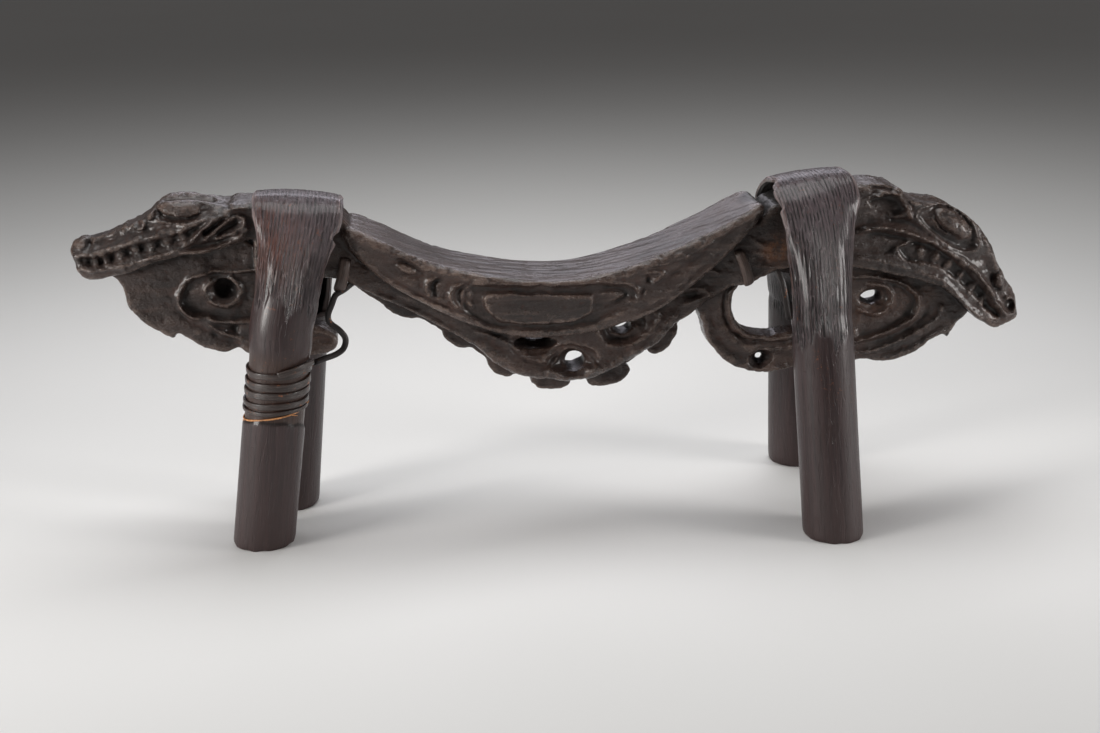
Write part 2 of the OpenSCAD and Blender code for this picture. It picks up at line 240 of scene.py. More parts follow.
def saddle():
    flat = outline(np.vstack([spline(SADDLE_TOP), spline(SADDLE_LOW)]), uneven=False)
    # The plan is full in the middle and drawn in with rounded corners at the ends
    reach = np.clip((np.abs(X + 6) - 86) / 18, 0, 1)
    faces = []
    for side in (0, 1):
        r = Relief(SADDLE_HALF_WIDTH - 10 * (1 - np.sqrt(1 - reach ** 2 * 0.98)))
        rim = np.interp(X, *np.array(SADDLE_TOP).T) - Z
        # the face leans back a little towards its lower edge, under a rounded upper lip
        r.t -= 0.055 * np.clip(rim, 0, 30)
        r.t -= 1.3 * smoothstep(2.6, 6.4, rim + 0.9 * value_noise(X, Z, (5, 5), 9))
        lozenge = [(-42, 119), (-40.5, 121.5), (-37, 122.3), (-14, 121.2), (9, 120), (11.5, 118.6),
                   (11, 112), (8.5, 109), (3, 106.6), (-6, 105.5), (-20, 106), (-31, 107.2),
                   (-37, 110.5), (-40.5, 114)]
        ring = [(-47.5, 126), (-51.5, 121.5), (-50.5, 113.5), (-42, 106.8), (-30, 103.6), (-8, 102.3),
                (8, 103.8), (20, 108.2), (29.5, 113), (34, 118), (31.5, 123), (22, 126), (10, 125),
                (-10, 125), (-30, 126.2)]
        hollow = outline(spline(ring, closed=True))
        r.area(hollow, -1.9, 2.2)
        r.area(outline(spline(lozenge, steps=3, closed=True)), 2.5, 1.3)
        r.line(lozenge + lozenge[:1], 0.9, 0.35, ends=0, curve=False)
        # tapering eye-shaped corner right of the lozenge
        r.line([(8, 124.6), (20, 125.6), (30, 123.6), (34.6, 119.4), (30, 114.8), (22, 111.4)], 1.2, 1.5)
        r.line([(12, 122.4), (22, 122.4), (28.4, 119.2), (24, 115.6), (16, 112.6)], 1.1, -1.3)
        r.line([(14, 119.8), (20, 119.6), (23.6, 117.8), (19.6, 115.6)], 1.0, 0.9)
        # commas left of it
        for comma in ([(-50, 128.2), (-56, 126.6), (-58, 122), (-56.5, 117.4), (-53, 113.6)],
                      [(-63.5, 131.8), (-68, 129.4), (-69.3, 125.6), (-67.5, 121.4)]):
            r.line(comma, 1.4, 1.7, ends=0.18)
            r.line([(x + 3.4, z - 0.9) for x, z in comma], 1.7, -1.7, ends=0.3)
        r.line([(-50.5, 127.2), (-48.6, 123.5), (-49, 118.5), (-46.5, 113)], 1.2, 1.0)
        r.dome((-78.5, 136.3), (5.4, 2.1), 1.7, turn=-26)
        r.line([(-85, 139), (-80, 139.6), (-73, 136.4), (-70.5, 132.5), (-76, 132.6), (-83, 136.2)],
               1.0, -1.1)
        # commas and fine lines right of it
        r.line([(33, 129), (39, 130.4), (45, 130), (42, 126.4), (38, 122.8), (37, 118)], 1.2, 1.5)
        r.line([(36, 127.6), (39.5, 125), (36.5, 121), (34.6, 116)], 1.3, -1.4)
        r.line([(33, 131.8), (44, 133.8), (54, 136.6), (64, 141.5), (72, 147)], 0.9, 0.9)
        r.line([(44, 126.5), (54, 130.6), (63, 136.4), (70, 142)], 1.2, -1.0)
        r.line([(50.5, 137.2), (54, 139.2), (57.5, 137.8), (56.4, 134.8)], 0.8, 1.0)
        # lower lip of the band
        r.line([(-97, 142), (-84, 130.5), (-70, 121.5), (-55, 114), (-41, 108), (-27, 103.6)], 1.0, -0.8)
        r.line([(-95, 139.5), (-84, 128.6), (-70, 119.6), (-55, 112), (-41, 106.3), (-27, 102)], 1.1, 0.5)
        r.line([(24, 106.6), (40, 112), (54, 120.6), (67, 131.5), (80, 143.6)], 1.0, -0.8)
        grain = value_noise(X, Z, (9, 1.6), 3) * 0.18 + value_noise(X, Z, (22, 7), 4) * 0.4
        chips = np.clip(value_noise(X, Z, (3.4, 2.6), 8 + side) - 0.3, 0, 1)
        chips += 0.7 * np.clip(value_noise(X, Z, (1.8, 1.6), 18 + side) - 0.3, 0, 1)
        r.t += grain - 1.9 * chips * smoothstep(7, 1.0, rim) * smoothstep(0.05, 0.7, np.abs(X + 10) / 90)
        r.t -= 0.35 * np.abs(value_noise(X + Z, Z - X, (2.2, 7), 28 + side)) * smoothstep(60, 84, X)
        faces.append(r)
    add_plate(flat, faces[0], faces[1], edge=4.4)


def beam_and_keel():
    over = [(-150, 166.8), (-126, 166.4), (-112, 165), (-107, 159), (-97, 148), (-80, 138), (-60, 130),
            (-37, 125), (-12, 122), (8, 123), (27, 127), (47, 134), (73, 144), (90, 150), (96, 154),
            (100, 159), (106, 162.4), (111, 165), (118, 167), (128, 168), (150, 168.4)]
    under = [(150, 132), (126, 130), (112, 128.5), (101, 125.5), (89, 120), (81, 117.5), (67, 108.5),
             (55, 99.7), (43.5, 88.5), (29, 80.5), (17, 74.6), (6.5, 72.4), (-10, 73), (-24.5, 76.8),
             (-36, 83.6), (-45, 92), (-49, 95), (-60.5, 102), (-74.6, 110), (-87, 116.5), (-105, 127.5),
             (-120, 131), (-150, 134)]
    flat = outline(np.vstack([spline(over), spline(under)]))
    # thick where the straps grip, thinner along the keel
    grip = np.maximum(smoothstep(-84, -100, X), smoothstep(74, 94, X))
    faces = []
    for side in (0, 1):
        r = Relief(10.6 + 3.8 * grip)
        r.t += 1.6 * smoothstep(112, 150, Z) * (1 - grip)
        # a rounded moulding follows the lower edge, above a hollow with the openings
        edge_line = [(-102, 129.5), (-87, 120), (-74.6, 113.4), (-60.5, 105.6), (-49, 98.6)]
        r.line(edge_line, 1.7, -1.2)
        r.line([(-47, 96.2), (-38.5, 90), (-27, 81.6), (-14, 77.4), (4, 76), (17, 78.4), (29, 84.6),
                (41, 91.6), (50, 101), (58, 107.5)], 2.6, 1.5, ends=0.12)
        r.line([(-44, 101), (-32, 97.5), (-24, 87.5), (-14, 82), (-3, 79.4)], 1.4, -1.8)
        r.line([(-48.5, 99.6), (-38, 98.8), (-29, 93.4), (-22.5, 86.8), (-13.5, 83.4), (-9, 82)], 1.3, 1.6)
        # eye-shaped surround of the middle opening
        r.dome((3, 83.4), (13.5, 8.6), -6.4, turn=-3, power=0.8)
        r.line([(-9.5, 78.6), (-5, 83.6), (-1, 88.4), (4.5, 89), (10, 85.8), (14.4, 79.4), (3, 77.2),
                (-9.5, 78.6)], 1.2, 1.5, ends=0)
        # round surround of the right opening
        r.dome((28, 99.5), (12, 9.5), -6.6, turn=20, power=0.8)
        r.line([(17, 95), (22, 91), (30, 90.6), (38, 94), (44, 100), (45.5, 104.6), (40, 107.4),
                (33, 106.6)], 1.6, 2.0)
        r.line([(20.5, 100.4), (23, 96), (29, 94.6), (35.5, 98), (36.5, 103)], 1.1, 1.3)
        # hollow of the left opening
        r.dome((-15, 92.5), (15, 7.2), -3.6, power=0.7)
        r.line([(-31, 96.5), (-26.5, 90.4), (-17, 86.6), (-7, 87), (-2, 90.5)], 1.3, 1.6)
        # leaf lines on the right shoulder
        r.line([(48, 114.6), (56, 118), (65, 118.6), (72, 115.4), (63, 112.6), (54, 108.6)], 1.3, 1.4)
        r.line([(56, 113.6), (64, 115.6), (60, 111)], 1.6, -1.5, ends=0.3)
        r.line([(58, 124), (66, 127.4), (73, 127), (79, 123.6)], 1.1, 1.0)
        r.line([(92, 134.5), (100, 131.8), (108, 131.5), (116, 134)], 1.6, -1.4)
        r.line([(88, 146), (96, 140.6), (104, 139), (114, 140)], 1.1, 0.7)
        r.line([(-104, 141.5), (-98, 136.8), (-91, 133.6), (-84, 127)], 1.4, -1.1)
        r.t += value_noise(X, Z, (10, 1.8), 21 + side) * 0.16 + value_noise(X, Z, (16, 8), 23 + side) * 0.35
        faces.append(r)
    add_plate(flat, faces[0], faces[1], edge=2.6)


def keel_openings():
    slot = [(-26.5, 92), (-22, 89.6), (-14.5, 88.6), (-8, 89.4), (-4, 92.4), (-9, 94.6), (-17, 95.4),
            (-23, 94.8)]
    cut(outline(spline(slot, closed=True)), 1.0, 2.4)
    cut(ellipse((4.7, 81.8), (5.0, 4.7), -6), 1.2)
    cut(ellipse((28.6, 99.4), (4.9, 4.4), 22), 1.2)


def scalloped_fin():
    lobes = [(-81, 112.6, 10.5, 5.2, -28), (-54, 95.6, 8.5, 4.6, -33), (-32.4, 79.8, 7.6, 4.4, -36),
             (-7, 70.7, 10.5, 4.8, -3), (22, 72.4, 11.5, 5.4, 13), (50, 90.6, 10, 4.4, 46)]
    for n, (x, z, long, tall, turn) in enumerate(lobes):
        r = Relief(4.4)
        r.t += value_noise(X, Z, (4, 3), 40 + n) * 0.5
        add_plate(ellipse((x, z), (long, tall), turn), r, edge=1.6, blend=1.5)
    # thin web joining the lobes to the keel
    spine = [(-104, 127), (-98, 119), (-86, 112.6), (-74, 107), (-60, 98.5), (-50, 92), (-38, 82.5),
             (-26, 75.6), (-10, 71.6), (6, 71), (18, 73), (30, 78), (44, 87), (55, 97), (66, 106),
             (60, 112), (40, 98), (26, 86), (10, 80), (-10, 80), (-28, 84), (-46, 98), (-60, 106),
             (-80, 117)]
    add_plate(outline(spline(spine, steps=3, closed=True)), Relief(4.4), edge=1.5, blend=1.0)


def right_loop():
    outer = [(62, 112), (66, 107), (68.8, 99.5), (72.8, 88.6), (81, 79.2), (91.4, 73.2), (103, 70.8),
             (117, 73), (132, 75), (150, 76)]
    inner = [(150, 93), (132, 93.4), (116, 92.4), (104, 91.2), (96, 92), (88.6, 96.6), (84.2, 104.4),
             (84.4, 113), (88, 120), (93, 125.5)]
    flat = outline(np.vstack([spline(outer), spline(inner), [[70, 124]]]))
    r = Relief(7.4)
    r.line([(84, 121), (80.6, 114), (80.3, 105.5), (84, 95.6), (92.4, 89.2), (104, 87), (118, 88),
            (134, 89)], 1.4, -1.6, ends=0.1)
    r.line([(86, 120), (82.8, 113), (82.4, 105), (86, 97), (94, 91.2), (104, 89.6), (118, 90.4)],
           1.2, 0.9, ends=0.1)
    r.line([(75.5, 113), (74, 102), (78, 91), (88, 82.6), (100, 79), (116, 80.4)], 2.2, -0.7)
    r.dome((100.6, 78.6), (6.5, 4.8), -5.2, turn=15, power=0.6)
    r.t += value_noise(X, Z, (5, 5), 61) * 0.35
    add_plate(flat, r, edge=2.2, blend=1.5)
    cut(ellipse((100.8, 78.4), (3.2, 2.5), 15), 0.8, 1.35)


def left_stub():
    edge = [(-158, 93.5), (-140, 90.5), (-126, 89.6), (-118, 90.6), (-114, 93), (-112.6, 96.4), (-114.6, 100),
            (-119, 103), (-126, 105.6), (-140, 108), (-158, 110)]
    r = Relief(7.4)
    r.line([(-115, 97.4), (-121, 98.6), (-130, 99)], 1.6, -0.9)
    r.t += value_noise(X, Z, (5, 4), 67) * 0.3
    add_plate(outline(spline(edge, closed=True)), r, edge=2.4, blend=1.2)


def taper(points):
    """Half thickness against X, from given pairs."""
    p = np.array(points, float)
    return np.interp(X, p[:, 0], p[:, 1])


def left_head():
    top = [(-146, 166.8), (-149.5, 167.8), (-154, 168.2), (-158.4, 167.6), (-161.4, 166.8), (-166.4, 167.4),
           (-171, 168.8), (-178, 169.8), (-186, 169.6), (-192, 167.4), (-197, 163.4), (-201.6, 160.8),
           (-210.5, 157), (-218, 153.8), (-224, 151.8), (-228, 151.8), (-232, 150.8), (-235, 148.6),
           (-235.8, 145.6), (-234.6, 142.6)]
    jaw = [(-233.4, 140.2), (-232.8, 136.2), (-230.8, 133.2), (-227.6, 131.9), (-224, 132.1), (-219, 133),
           (-213, 134.6), (-206, 137), (-199, 139.8), (-190, 142.6), (-182.5, 144), (-175, 144.5),
           (-168, 145.8), (-160, 148), (-152, 151), (-144, 153)]
    flat = outline(np.vstack([spline(top), spline(jaw), [[-132, 154], [-132, 166]]]))
    wide = [(-237, 5.5), (-231, 8), (-222, 9.6), (-208, 11.6), (-196, 14), (-182, 15.6), (-165, 16),
            (-150, 15), (-136, 14.4)]
    faces = []
    for side in (0, 1):
        r = Relief(taper(wide))
        # the forehead and snout slope in towards the crown
        crown = np.interp(X, [-236, -218, -201, -190, -170, -150], [150, 154, 161, 169, 169, 168])
        r.t -= 4.2 * smoothstep(11, 0, crown - Z) ** 1.5
        # the long mouth, with worn teeth between rough lips
        mouth = [(-230, 142.4), (-221, 143.6), (-212, 146.8), (-203, 149.4), (-194, 151.8), (-184, 154.8),
                 (-175, 158.2), (-176.4, 154.6), (-184, 151.2), (-191.4, 148.2), (-202, 145.2),
                 (-213.8, 141.9), (-223, 139.8), (-229.4, 140)]
        r.step(mouth, -1.7, 1.8)
        for x, z, w in ((-223.6, 141.6, 1.5), (-218.8, 142, 1.6), (-211.9, 144, 2.0), (-204.2, 147, 2.1),
                        (-197, 149, 2.0), (-189.5, 151, 2.2), (-181.8, 153.4, 2.2)):
            r.dome((x, z), (w * 1.2, 3.4), 1.5, turn=16, power=0.9)
        for x, z in ((-226.4, 141.2), (-221.2, 141.2), (-215.6, 142.9), (-208, 145.6), (-200.8, 147.9),
                     (-193.2, 150), (-185.4, 152.4)):
            r.dome((x, z), (1.7, 2.0), -1.4 * smoothstep(-176, -204, x), power=0.8)
        # lips
        r.line([(-234.4, 143.4), (-229, 144.9), (-221, 146), (-212, 149.4), (-203.1, 151.9), (-194.2, 154.1),
                (-183.5, 157.3), (-172.7, 160.8), (-166.3, 163.4), (-160.9, 165), (-154.7, 165.8),
                (-149.4, 165.6)], 1.5, 2.1, ends=0.03)
        r.line([(-232.4, 136.8), (-229.2, 137.4), (-224.5, 137.2), (-213.8, 139), (-202.1, 142.4),
                (-191.4, 145.4), (-184.1, 148.4), (-176.8, 151.8), (-171.1, 157.8), (-161.9, 163)],
               1.4, 2.0, ends=0.03)
        r.line([(-231, 147.2), (-221, 149.4), (-210, 153), (-200, 156), (-190, 158.6), (-178, 162)],
               1.7, -1.2)
        # nose: nostril with a slit behind it, blunt tip
        r.dome((-231, 148.9), (3.6, 3.5), 1.8, power=0.8)
        r.line([(-227, 152), (-226.2, 149.4), (-227, 146.8)], 1.2, -2.0, ends=0.2)
        r.line([(-224.8, 151.2), (-223.6, 148.8), (-225.2, 146.4)], 1.0, 1.0)
        # eye: a long roll in a socket, a rim below it and a brow above
        r.step([(-194.6, 163), (-194, 168), (-188, 171.6), (-175, 171.4), (-166.5, 168), (-170, 163.6),
                (-180, 160.6), (-190, 160.6)], -2.6, 2.2)
        r.dome((-183.4, 166.4), (10.4, 3.9), 5.4, turn=-3, power=0.42)
        r.line([(-194, 163.6), (-192.4, 161.2), (-188.3, 160.2), (-180.4, 160.4), (-173.3, 162.6),
                (-167.8, 165.8), (-169.4, 168.2)], 1.0, 1.9, ends=0.06)
        r.line([(-191.2, 170), (-186, 172), (-178, 172.4), (-171, 171), (-164, 168.4)], 1.3, 1.8, ends=0.1)
        r.line([(-176, 164.2), (-171.6, 165.2), (-168.6, 166.6)], 0.9, 1.2)
        # knob and curl in front of the eye
        r.dome((-196.2, 164.4), (2.3, 3.9), 3.4, turn=-14, power=0.45)
        r.line([(-205.4, 158.6), (-203.6, 161.6), (-200.6, 161), (-200.1, 158.4), (-202.8, 156.8),
                (-205.3, 157.9)], 1.0, 2.0, ends=0.04)
        r.dome((-202.6, 159.3), (1.5, 1.3), -1.6)
        # forked leaves on the cheek behind the mouth
        r.line([(-178, 152), (-174, 155.4), (-170, 159.6), (-165, 162.4), (-160, 164)], 1.1, 2.0, ends=0.08)
        r.line([(-173.5, 154), (-168, 158.4), (-161.6, 162.8)], 1.2, -2.4, ends=0.2)
        leaf = [(-171.5, 151.6), (-167.8, 155), (-163.1, 158.8), (-158.5, 162.2), (-154.9, 162.6),
                (-153.1, 160.6), (-154.6, 158), (-159.6, 154.6), (-166, 152)]
        r.line(leaf, 1.0, 2.0, ends=0.03)
        r.line([(-166.6, 153.8), (-160.6, 157.6), (-156, 160.2)], 1.3, -2.2, ends=0.2)
        r.line([(-184, 145.8), (-175.4, 146.4), (-168.3, 147.8), (-161, 150.2), (-156, 153.4), (-152, 157.6)],
               1.2, 2.0, ends=0.05)
        r.line([(-181, 148.6), (-173, 149), (-165, 150.4), (-158, 154)], 1.3, -1.8)
        # worn crest behind the eye
        r.line([(-165, 165.6), (-158, 166.6), (-150, 166.6)], 1.1, 0.9)
        r.dome((-154.6, 167.6), (5.4, 2.0), 1.6, power=0.6)
        snout = smoothstep(-190, -200, X) * smoothstep(148, 151, Z)
        r.t += (0.34 * value_noise(X, Z, (1.5, 1.5), 31) + 0.2 * value_noise(X, Z, (3, 3), 32)) * snout
        r.t += value_noise(X, Z, (7, 3), 33 + side) * 0.28 + value_noise(X, Z, (2.2, 1.6), 35 + side) * 0.16
        faces.append(r)
    add_plate(flat, faces[0], faces[1], edge=2.0, blend=0.8)
    valley(-196, -162, [(-196, 165), (-190, 169.6), (-178, 170.2), (-168, 168.6), (-162, 167.4)], 3.2, 5.5)


def left_throat():
    edge = [(-219, 134), (-216.6, 132.4), (-214.4, 130), (-212.2, 124.6), (-210.2, 116.2), (-205.4, 110),
            (-198, 104.4), (-193, 101.4), (-190.6, 101.2), (-188.6, 103), (-183.6, 100), (-176.6, 95.4),
            (-168.4, 93.2), (-164, 94), (-161, 95), (-156, 92.8), (-146, 92.4)]
    flat = outline(np.vstack([spline(edge), [[-140, 110], [-138, 140], [-160, 152], (-200, 150)]]))
    faces = []
    for side in (0, 1):
        r = Relief(7.6)
        r.t -= 2.0 * smoothstep(12, 30, np.hypot(X + 165, (Z - 122) * 1.1)) * 0.6
        # shadowed hollow under the jaw
        r.line([(-152, 141), (-162, 139.6), (-176, 138)], 5.0, -1.4, ends=0.3)
        oval = [(-146, 134.5), (-160, 133.6), (-172, 134), (-181, 131), (-186.4, 125), (-187.2, 119),
                (-184.4, 114.4), (-178, 111.2), (-170, 109.4), (-160, 108.8), (-146, 108.8)]
        r.step([(-140, 133), (-160, 132.4), (-172, 132.6), (-180, 129.8), (-184.8, 124.4), (-185.4, 119),
                (-182.6, 115.4), (-176, 112.6), (-168, 110.8), (-158, 110.2), (-140, 110.2)], -1.9, 2.2)
        r.line(oval, 1.1, 1.3, ends=0.06)
        r.line([(-186.4, 117), (-180, 111.6), (-172, 106.8), (-165, 102.4), (-155, 98), (-146, 95.6)],
               1.1, 1.2, ends=0.06)
        r.line([(-190, 118), (-184, 110.4), (-175, 104.6), (-166, 99.6), (-156, 95.6)], 1.6, -0.9)
        r.line([(-182, 112), (-172, 108), (-160, 105.6), (-146, 104)], 1.3, -0.8)
        # ring round the hole
        r.line([(-169.4, 130.6), (-173.2, 127), (-173.4, 122), (-170.6, 118.4), (-165.6, 117),
                (-160.6, 118.8), (-158, 123), (-158.8, 128), (-163, 131)], 1.4, 2.0, ends=0.08)
        r.dome((-165, 124.8), (6.0, 5.2), -1.2, power=0.6)
        # small lens below
        r.dome((-158, 104.6), (8, 2.6), -2.4, turn=2, power=0.6)
        r.t += value_noise(X, Z, (4, 4), 51 + side) * 0.3 + value_noise(X, Z, (11, 9), 52 + side) * 0.5
        faces.append(r)
    add_plate(flat, faces[0], faces[1], edge=2.0, blend=1.6)
    cut(ellipse((-165, 124.8), (5.3, 4.8)), 1.2, 4.5)


def right_head():
    top = [(136, 168), (143, 169), (150, 169.4), (157, 169), (163, 167.4), (166.4, 165.2), (168.4, 162.6),
           (171.6, 160.4), (177, 159.4), (184, 158.8), (191.6, 157.2), (199, 153), (206.6, 147),
           (212.4, 141.6), (216, 136.6), (219.4, 131), (223.8, 123.4), (228, 116.4), (232.6, 110),
           (235.8, 104), (236.4, 99)]
    jaw = [(236, 96.6), (233, 94.6), (229.4, 93.4), (225, 92), (221, 91.8), (216.6, 94.6),
           (211.8, 97.4), (208.4, 100.2), (203, 105.2), (195.6, 112), (184, 118), (168, 122.4), (152, 126),
           (140, 128)]
    flat = outline(np.vstack([spline(top), spline(jaw), [[130, 140], [132, 168]]]))
    wide = [(136, 14.4), (150, 15.2), (168, 16), (190, 15.8), (205, 14), (216, 11.6), (226, 9.4),
            (232, 8), (238, 6)]
    faces = []
    for side in (0, 1):
        r = Relief(taper(wide))
        crown = np.interp(X, [140, 165, 184, 199, 213, 220, 228, 236],
                          [170, 168, 160, 154, 143, 131, 117, 103])
        r.t -= 4.6 * smoothstep(12, 0, crown - Z) ** 1.5
        # hollow of the mouth, open towards the tip
        mouth = [(166, 136), (167, 138.2), (175, 139.6), (183.6, 137.4), (192, 132.4), (201, 125),
                 (210, 116), (217, 107), (223.4, 99), (219.4, 99.4), (211.8, 106.8), (204, 114.2),
                 (196.4, 120.4), (187.8, 126.4), (179.4, 129.4), (171, 130.4)]
        r.step(mouth, -2.5, 1.8)
        for x, z, turn in ((177.4, 134.6, -10), (185.2, 132.2, -22), (192.6, 127.6, -36), (199.8, 121.2, -44),
                           (206.6, 114.2, -46), (213.2, 107, -48)):
            r.dome((x, z), (2.6, 4.0), 1.7, turn=turn, power=0.9)
        # lips
        r.line([(143, 146.4), (152, 148.2), (162, 147.4), (172, 144.4), (182, 139.6), (191.6, 134.6),
                (201.6, 128), (209, 121.6), (217, 111.4), (223, 103.4), (228, 98)], 1.3, 2.6, ends=0.04)
        r.line([(146, 143.2), (155, 144.6), (164, 143.2), (173, 140), (183, 135.2)], 1.4, -1.0)
        r.line([(143, 133.4), (157.8, 130.8), (169.6, 127), (181.4, 123.4), (190.4, 118.6), (198, 111.6),
                (205, 103.6), (213, 98)], 1.6, 1.4, ends=0.05)
        r.line([(143, 150.6), (153, 152), (164, 151), (174, 147.8), (184, 143.2)], 1.8, -1.3)
        r.step([(140, 144), (152, 145.4), (163, 144), (169, 141.4), (164, 138.6), (161, 134.6), (150, 135.6),
                (140, 136.6)], -1.2, 2.2)
        # eye: a big tilted almond with a raised rim
        rim = [(173.6, 152.6), (177, 156.6), (184, 158.4), (191.6, 157), (200.6, 150), (206.4, 141.4),
               (206.6, 135), (198.6, 134.6), (188.4, 139.8), (179.6, 146.2)]
        r.step(rim, -1.9, 2.0)
        r.line(rim + rim[:1], 1.2, 1.5, ends=0)
        r.dome((193.6, 148.6), (11.6, 4.8), 5.0, turn=-38, power=0.5)
        r.line([(181.4, 152.6), (187, 155.4), (194.6, 153.2), (201.2, 147), (203.4, 141.6)], 0.9, 1.2,
               ends=0.1)
        r.line([(181.4, 152), (186.6, 146.2), (195, 141.6), (203, 141)], 0.9, 1.2, ends=0.1)
        # bright brow ridge running down to the snout
        r.line([(184, 159), (192, 157.6), (200, 152.4), (207.4, 145), (213, 136.6), (218, 128.6),
                (222.4, 121)], 1.5, 1.8, ends=0.12)
        r.line([(208, 134), (213, 126), (219, 117), (224, 109)], 2.0, -1.0)
        # snout: horn boss, nostril, tip
        r.dome((221.8, 118), (3.9, 4.6), 3.0, turn=-35, power=0.55)
        r.line([(217.4, 121.6), (219.6, 114), (224.6, 112)], 1.0, -1.6, ends=0.2)
        r.dome((229.4, 103.4), (3.3, 2.7), -3.0, turn=-50, power=0.6)
        r.line([(225.6, 107), (229.6, 107.6), (233, 103.6), (231.6, 99.4), (227.6, 99.4)], 1.1, 1.6,
               ends=0.1)
        # crest: banded block, knob and curl behind the eye
        for z in (168.4, 165.8, 163.2):
            r.line([(140, z + 0.2), (150, z + 0.4), (158, z - 0.4), (164, z - 2)], 0.9, 1.7, ends=0.1)
        r.dome((164.2, 165.4), (2.8, 2.4), 3.0, turn=-30, power=0.5)
        r.step([(150, 161), (158, 163.6), (164.6, 161), (167.6, 156), (160, 154), (153, 156.4)], -2.4, 2.0)
        r.line([(151, 162.6), (158, 165), (164.6, 162.4), (168, 157), (170.6, 151.6)], 1.2, 2.2, ends=0.08)
        r.line([(150.6, 159), (156, 156.2), (163, 154.6)], 1.0, 1.2)
        r.line([(143, 157.6), (150, 157), (158, 153), (168, 150.4)], 1.3, -1.2)
        r.dome((173, 160.4), (4.4, 2.2), 2.0, turn=-10, power=0.6)
        r.t += value_noise(X, Z, (7, 3), 73 + side) * 0.25 + value_noise(X, Z, (2, 2), 74) * 0.1
        faces.append(r)
    add_plate(flat, faces[0], faces[1], edge=2.0, blend=0.8)
    valley(172, 216, [(172, 161.6), (184, 159.6), (192, 157.8), (200, 153.2), (208, 147), (216, 138)],
           3.2, 5.5)


def right_throat():
    edge = [(140, 76), (150, 76), (156.4, 76.2), (164.8, 74.8), (172, 75.4), (179, 78), (187, 83),
            (193.4, 87.6), (196, 88), (197.6, 86.8), (199.4, 88.4), (203, 94), (208, 99)]
    flat = outline(np.vstack([spline(edge), [[206, 112], [190, 124], [150, 136], [140, 134]]]))
    faces = []
    for side in (0, 1):
        r = Relief(7.6)
        r.line([(150, 126), (164, 124), (176, 120.6)], 4.0, -1.4, ends=0.3)
        r.step([(140, 118.6), (152, 119), (163, 118), (172, 115.4), (179, 109), (178.6, 101.4), (173, 96.6),
                (162, 91.4), (151, 88.4), (140, 87)], -1.5, 2.2)
        r.line([(140, 121), (152, 120.8), (164, 119), (173, 115.6), (180.4, 108.6), (179.8, 100.4),
                (173.8, 95.4), (162.4, 90.2), (150.8, 87.2), (140, 85.6)], 1.2, 1.4, ends=0.05)
        r.line([(194, 104), (191.4, 98.6), (184.8, 93), (172.4, 86.6), (158.4, 81.6), (146, 80.4)], 1.2, 1.4,
               ends=0.06)
        r.line([(186, 108), (185, 100), (178, 93.4), (166, 87.6), (152, 83.6)], 1.5, -1.0)
        r.line([(198, 97), (190, 91), (180, 84.4), (168, 79.6), (156, 78.6)], 1.3, -0.9)
        r.line([(149, 103.8), (155, 101.4), (161.6, 101.4), (166.4, 106.6), (166, 112.4), (161, 116),
                (152, 116.4)], 1.4, 2.0, ends=0.08)
        r.dome((158.4, 109.6), (9.0, 5.0), -2.8, power=0.6)
        r.t += value_noise(X, Z, (5, 4), 81 + side) * 0.3 + value_noise(X, Z, (12, 9), 82 + side) * 0.4
        faces.append(r)
    add_plate(flat, faces[0], faces[1], edge=2.0, blend=1.6)
    cut(ellipse((156.8, 108.8), (5.7, 3.6), 2), 1.0, 1.1)


def surface_nets(field):
    """Vertices and quads of the surface where the field is zero."""
    inside = field < 0
    cells = np.array(field.shape) - 1
    strides = np.array([cells[1] * cells[2], cells[2], 1])
    total = int(np.prod(cells))
    sums = np.zeros((4, total))
    quads = []
    for axis in range(3):
        a = [slice(None)] * 3
        b = [slice(None)] * 3
        a[axis] = slice(0, -1)
        b[axis] = slice(1, None)
        change = inside[tuple(a)] != inside[tuple(b)]
        u, v = [n for n in range(3) if n != axis]
        # the outermost layers have no cells on one side
        for side in (u, v):
            edge = [slice(None)] * 3
            edge[side] = 0
            change[tuple(edge)] = False
            edge[side] = -1
            change[tuple(edge)] = False
        at = np.argwhere(change)
        step = np.zeros(3, int)
        step[axis] = 1
        f0 = field[tuple(at.T)].astype(float)
        f1 = field[tuple((at + step).T)].astype(float)
        cross = at.astype(float)
        cross[:, axis] += f0 / (f0 - f1)
        base = at @ strides
        around = [base, base - strides[u], base - strides[u] - strides[v], base - strides[v]]
        for cell in around:
            for n in range(3):
                sums[n] += np.bincount(cell, cross[:, n], total)
            sums[3] += np.bincount(cell, minlength=total)
        ring = np.stack(around, axis=1)
        flip = (f0 < 0) ^ (axis == 1)
        ring[~flip] = ring[~flip][:, ::-1]
        quads.append(ring)
    used = np.where(sums[3] > 0)[0]
    number = np.full(total, -1)
    number[used] = np.arange(len(used))
    verts = (sums[:3, used] / sums[3, used]).T
    return verts, number[np.vstack(quads)]


def new_mesh(name, verts, faces, smooth=True):
    """A Blender object from arrays of points in millimetres and faces of one size."""
    mesh = bpy.data.meshes.new(name)
    faces = np.asarray(faces)
    size = faces.shape[1]
    mesh.vertices.add(len(verts))
    mesh.vertices.foreach_set("co", (np.asarray(verts, float) * MM).ravel())
    mesh.loops.add(faces.size)
    mesh.loops.foreach_set("vertex_index", faces.ravel().astype(np.int32))
    mesh.polygons.add(len(faces))
    mesh.polygons.foreach_set("loop_start", np.arange(0, faces.size, size, dtype=np.int32))
    mesh.update(calc_edges=True)
    mesh.validate()
    mesh.polygons.foreach_set("use_smooth", np.full(len(mesh.polygons), smooth))
    piece = bpy.data.objects.new(name, mesh)
    bpy.context.scene.collection.objects.link(piece)
    return piece


def apply_modifiers(piece):
    bpy.context.view_layer.update()
    graph = bpy.context.evaluated_depsgraph_get()
    mesh = bpy.data.meshes.new_from_object(piece.evaluated_get(graph))
    piece.modifiers.clear()
    piece.data = mesh


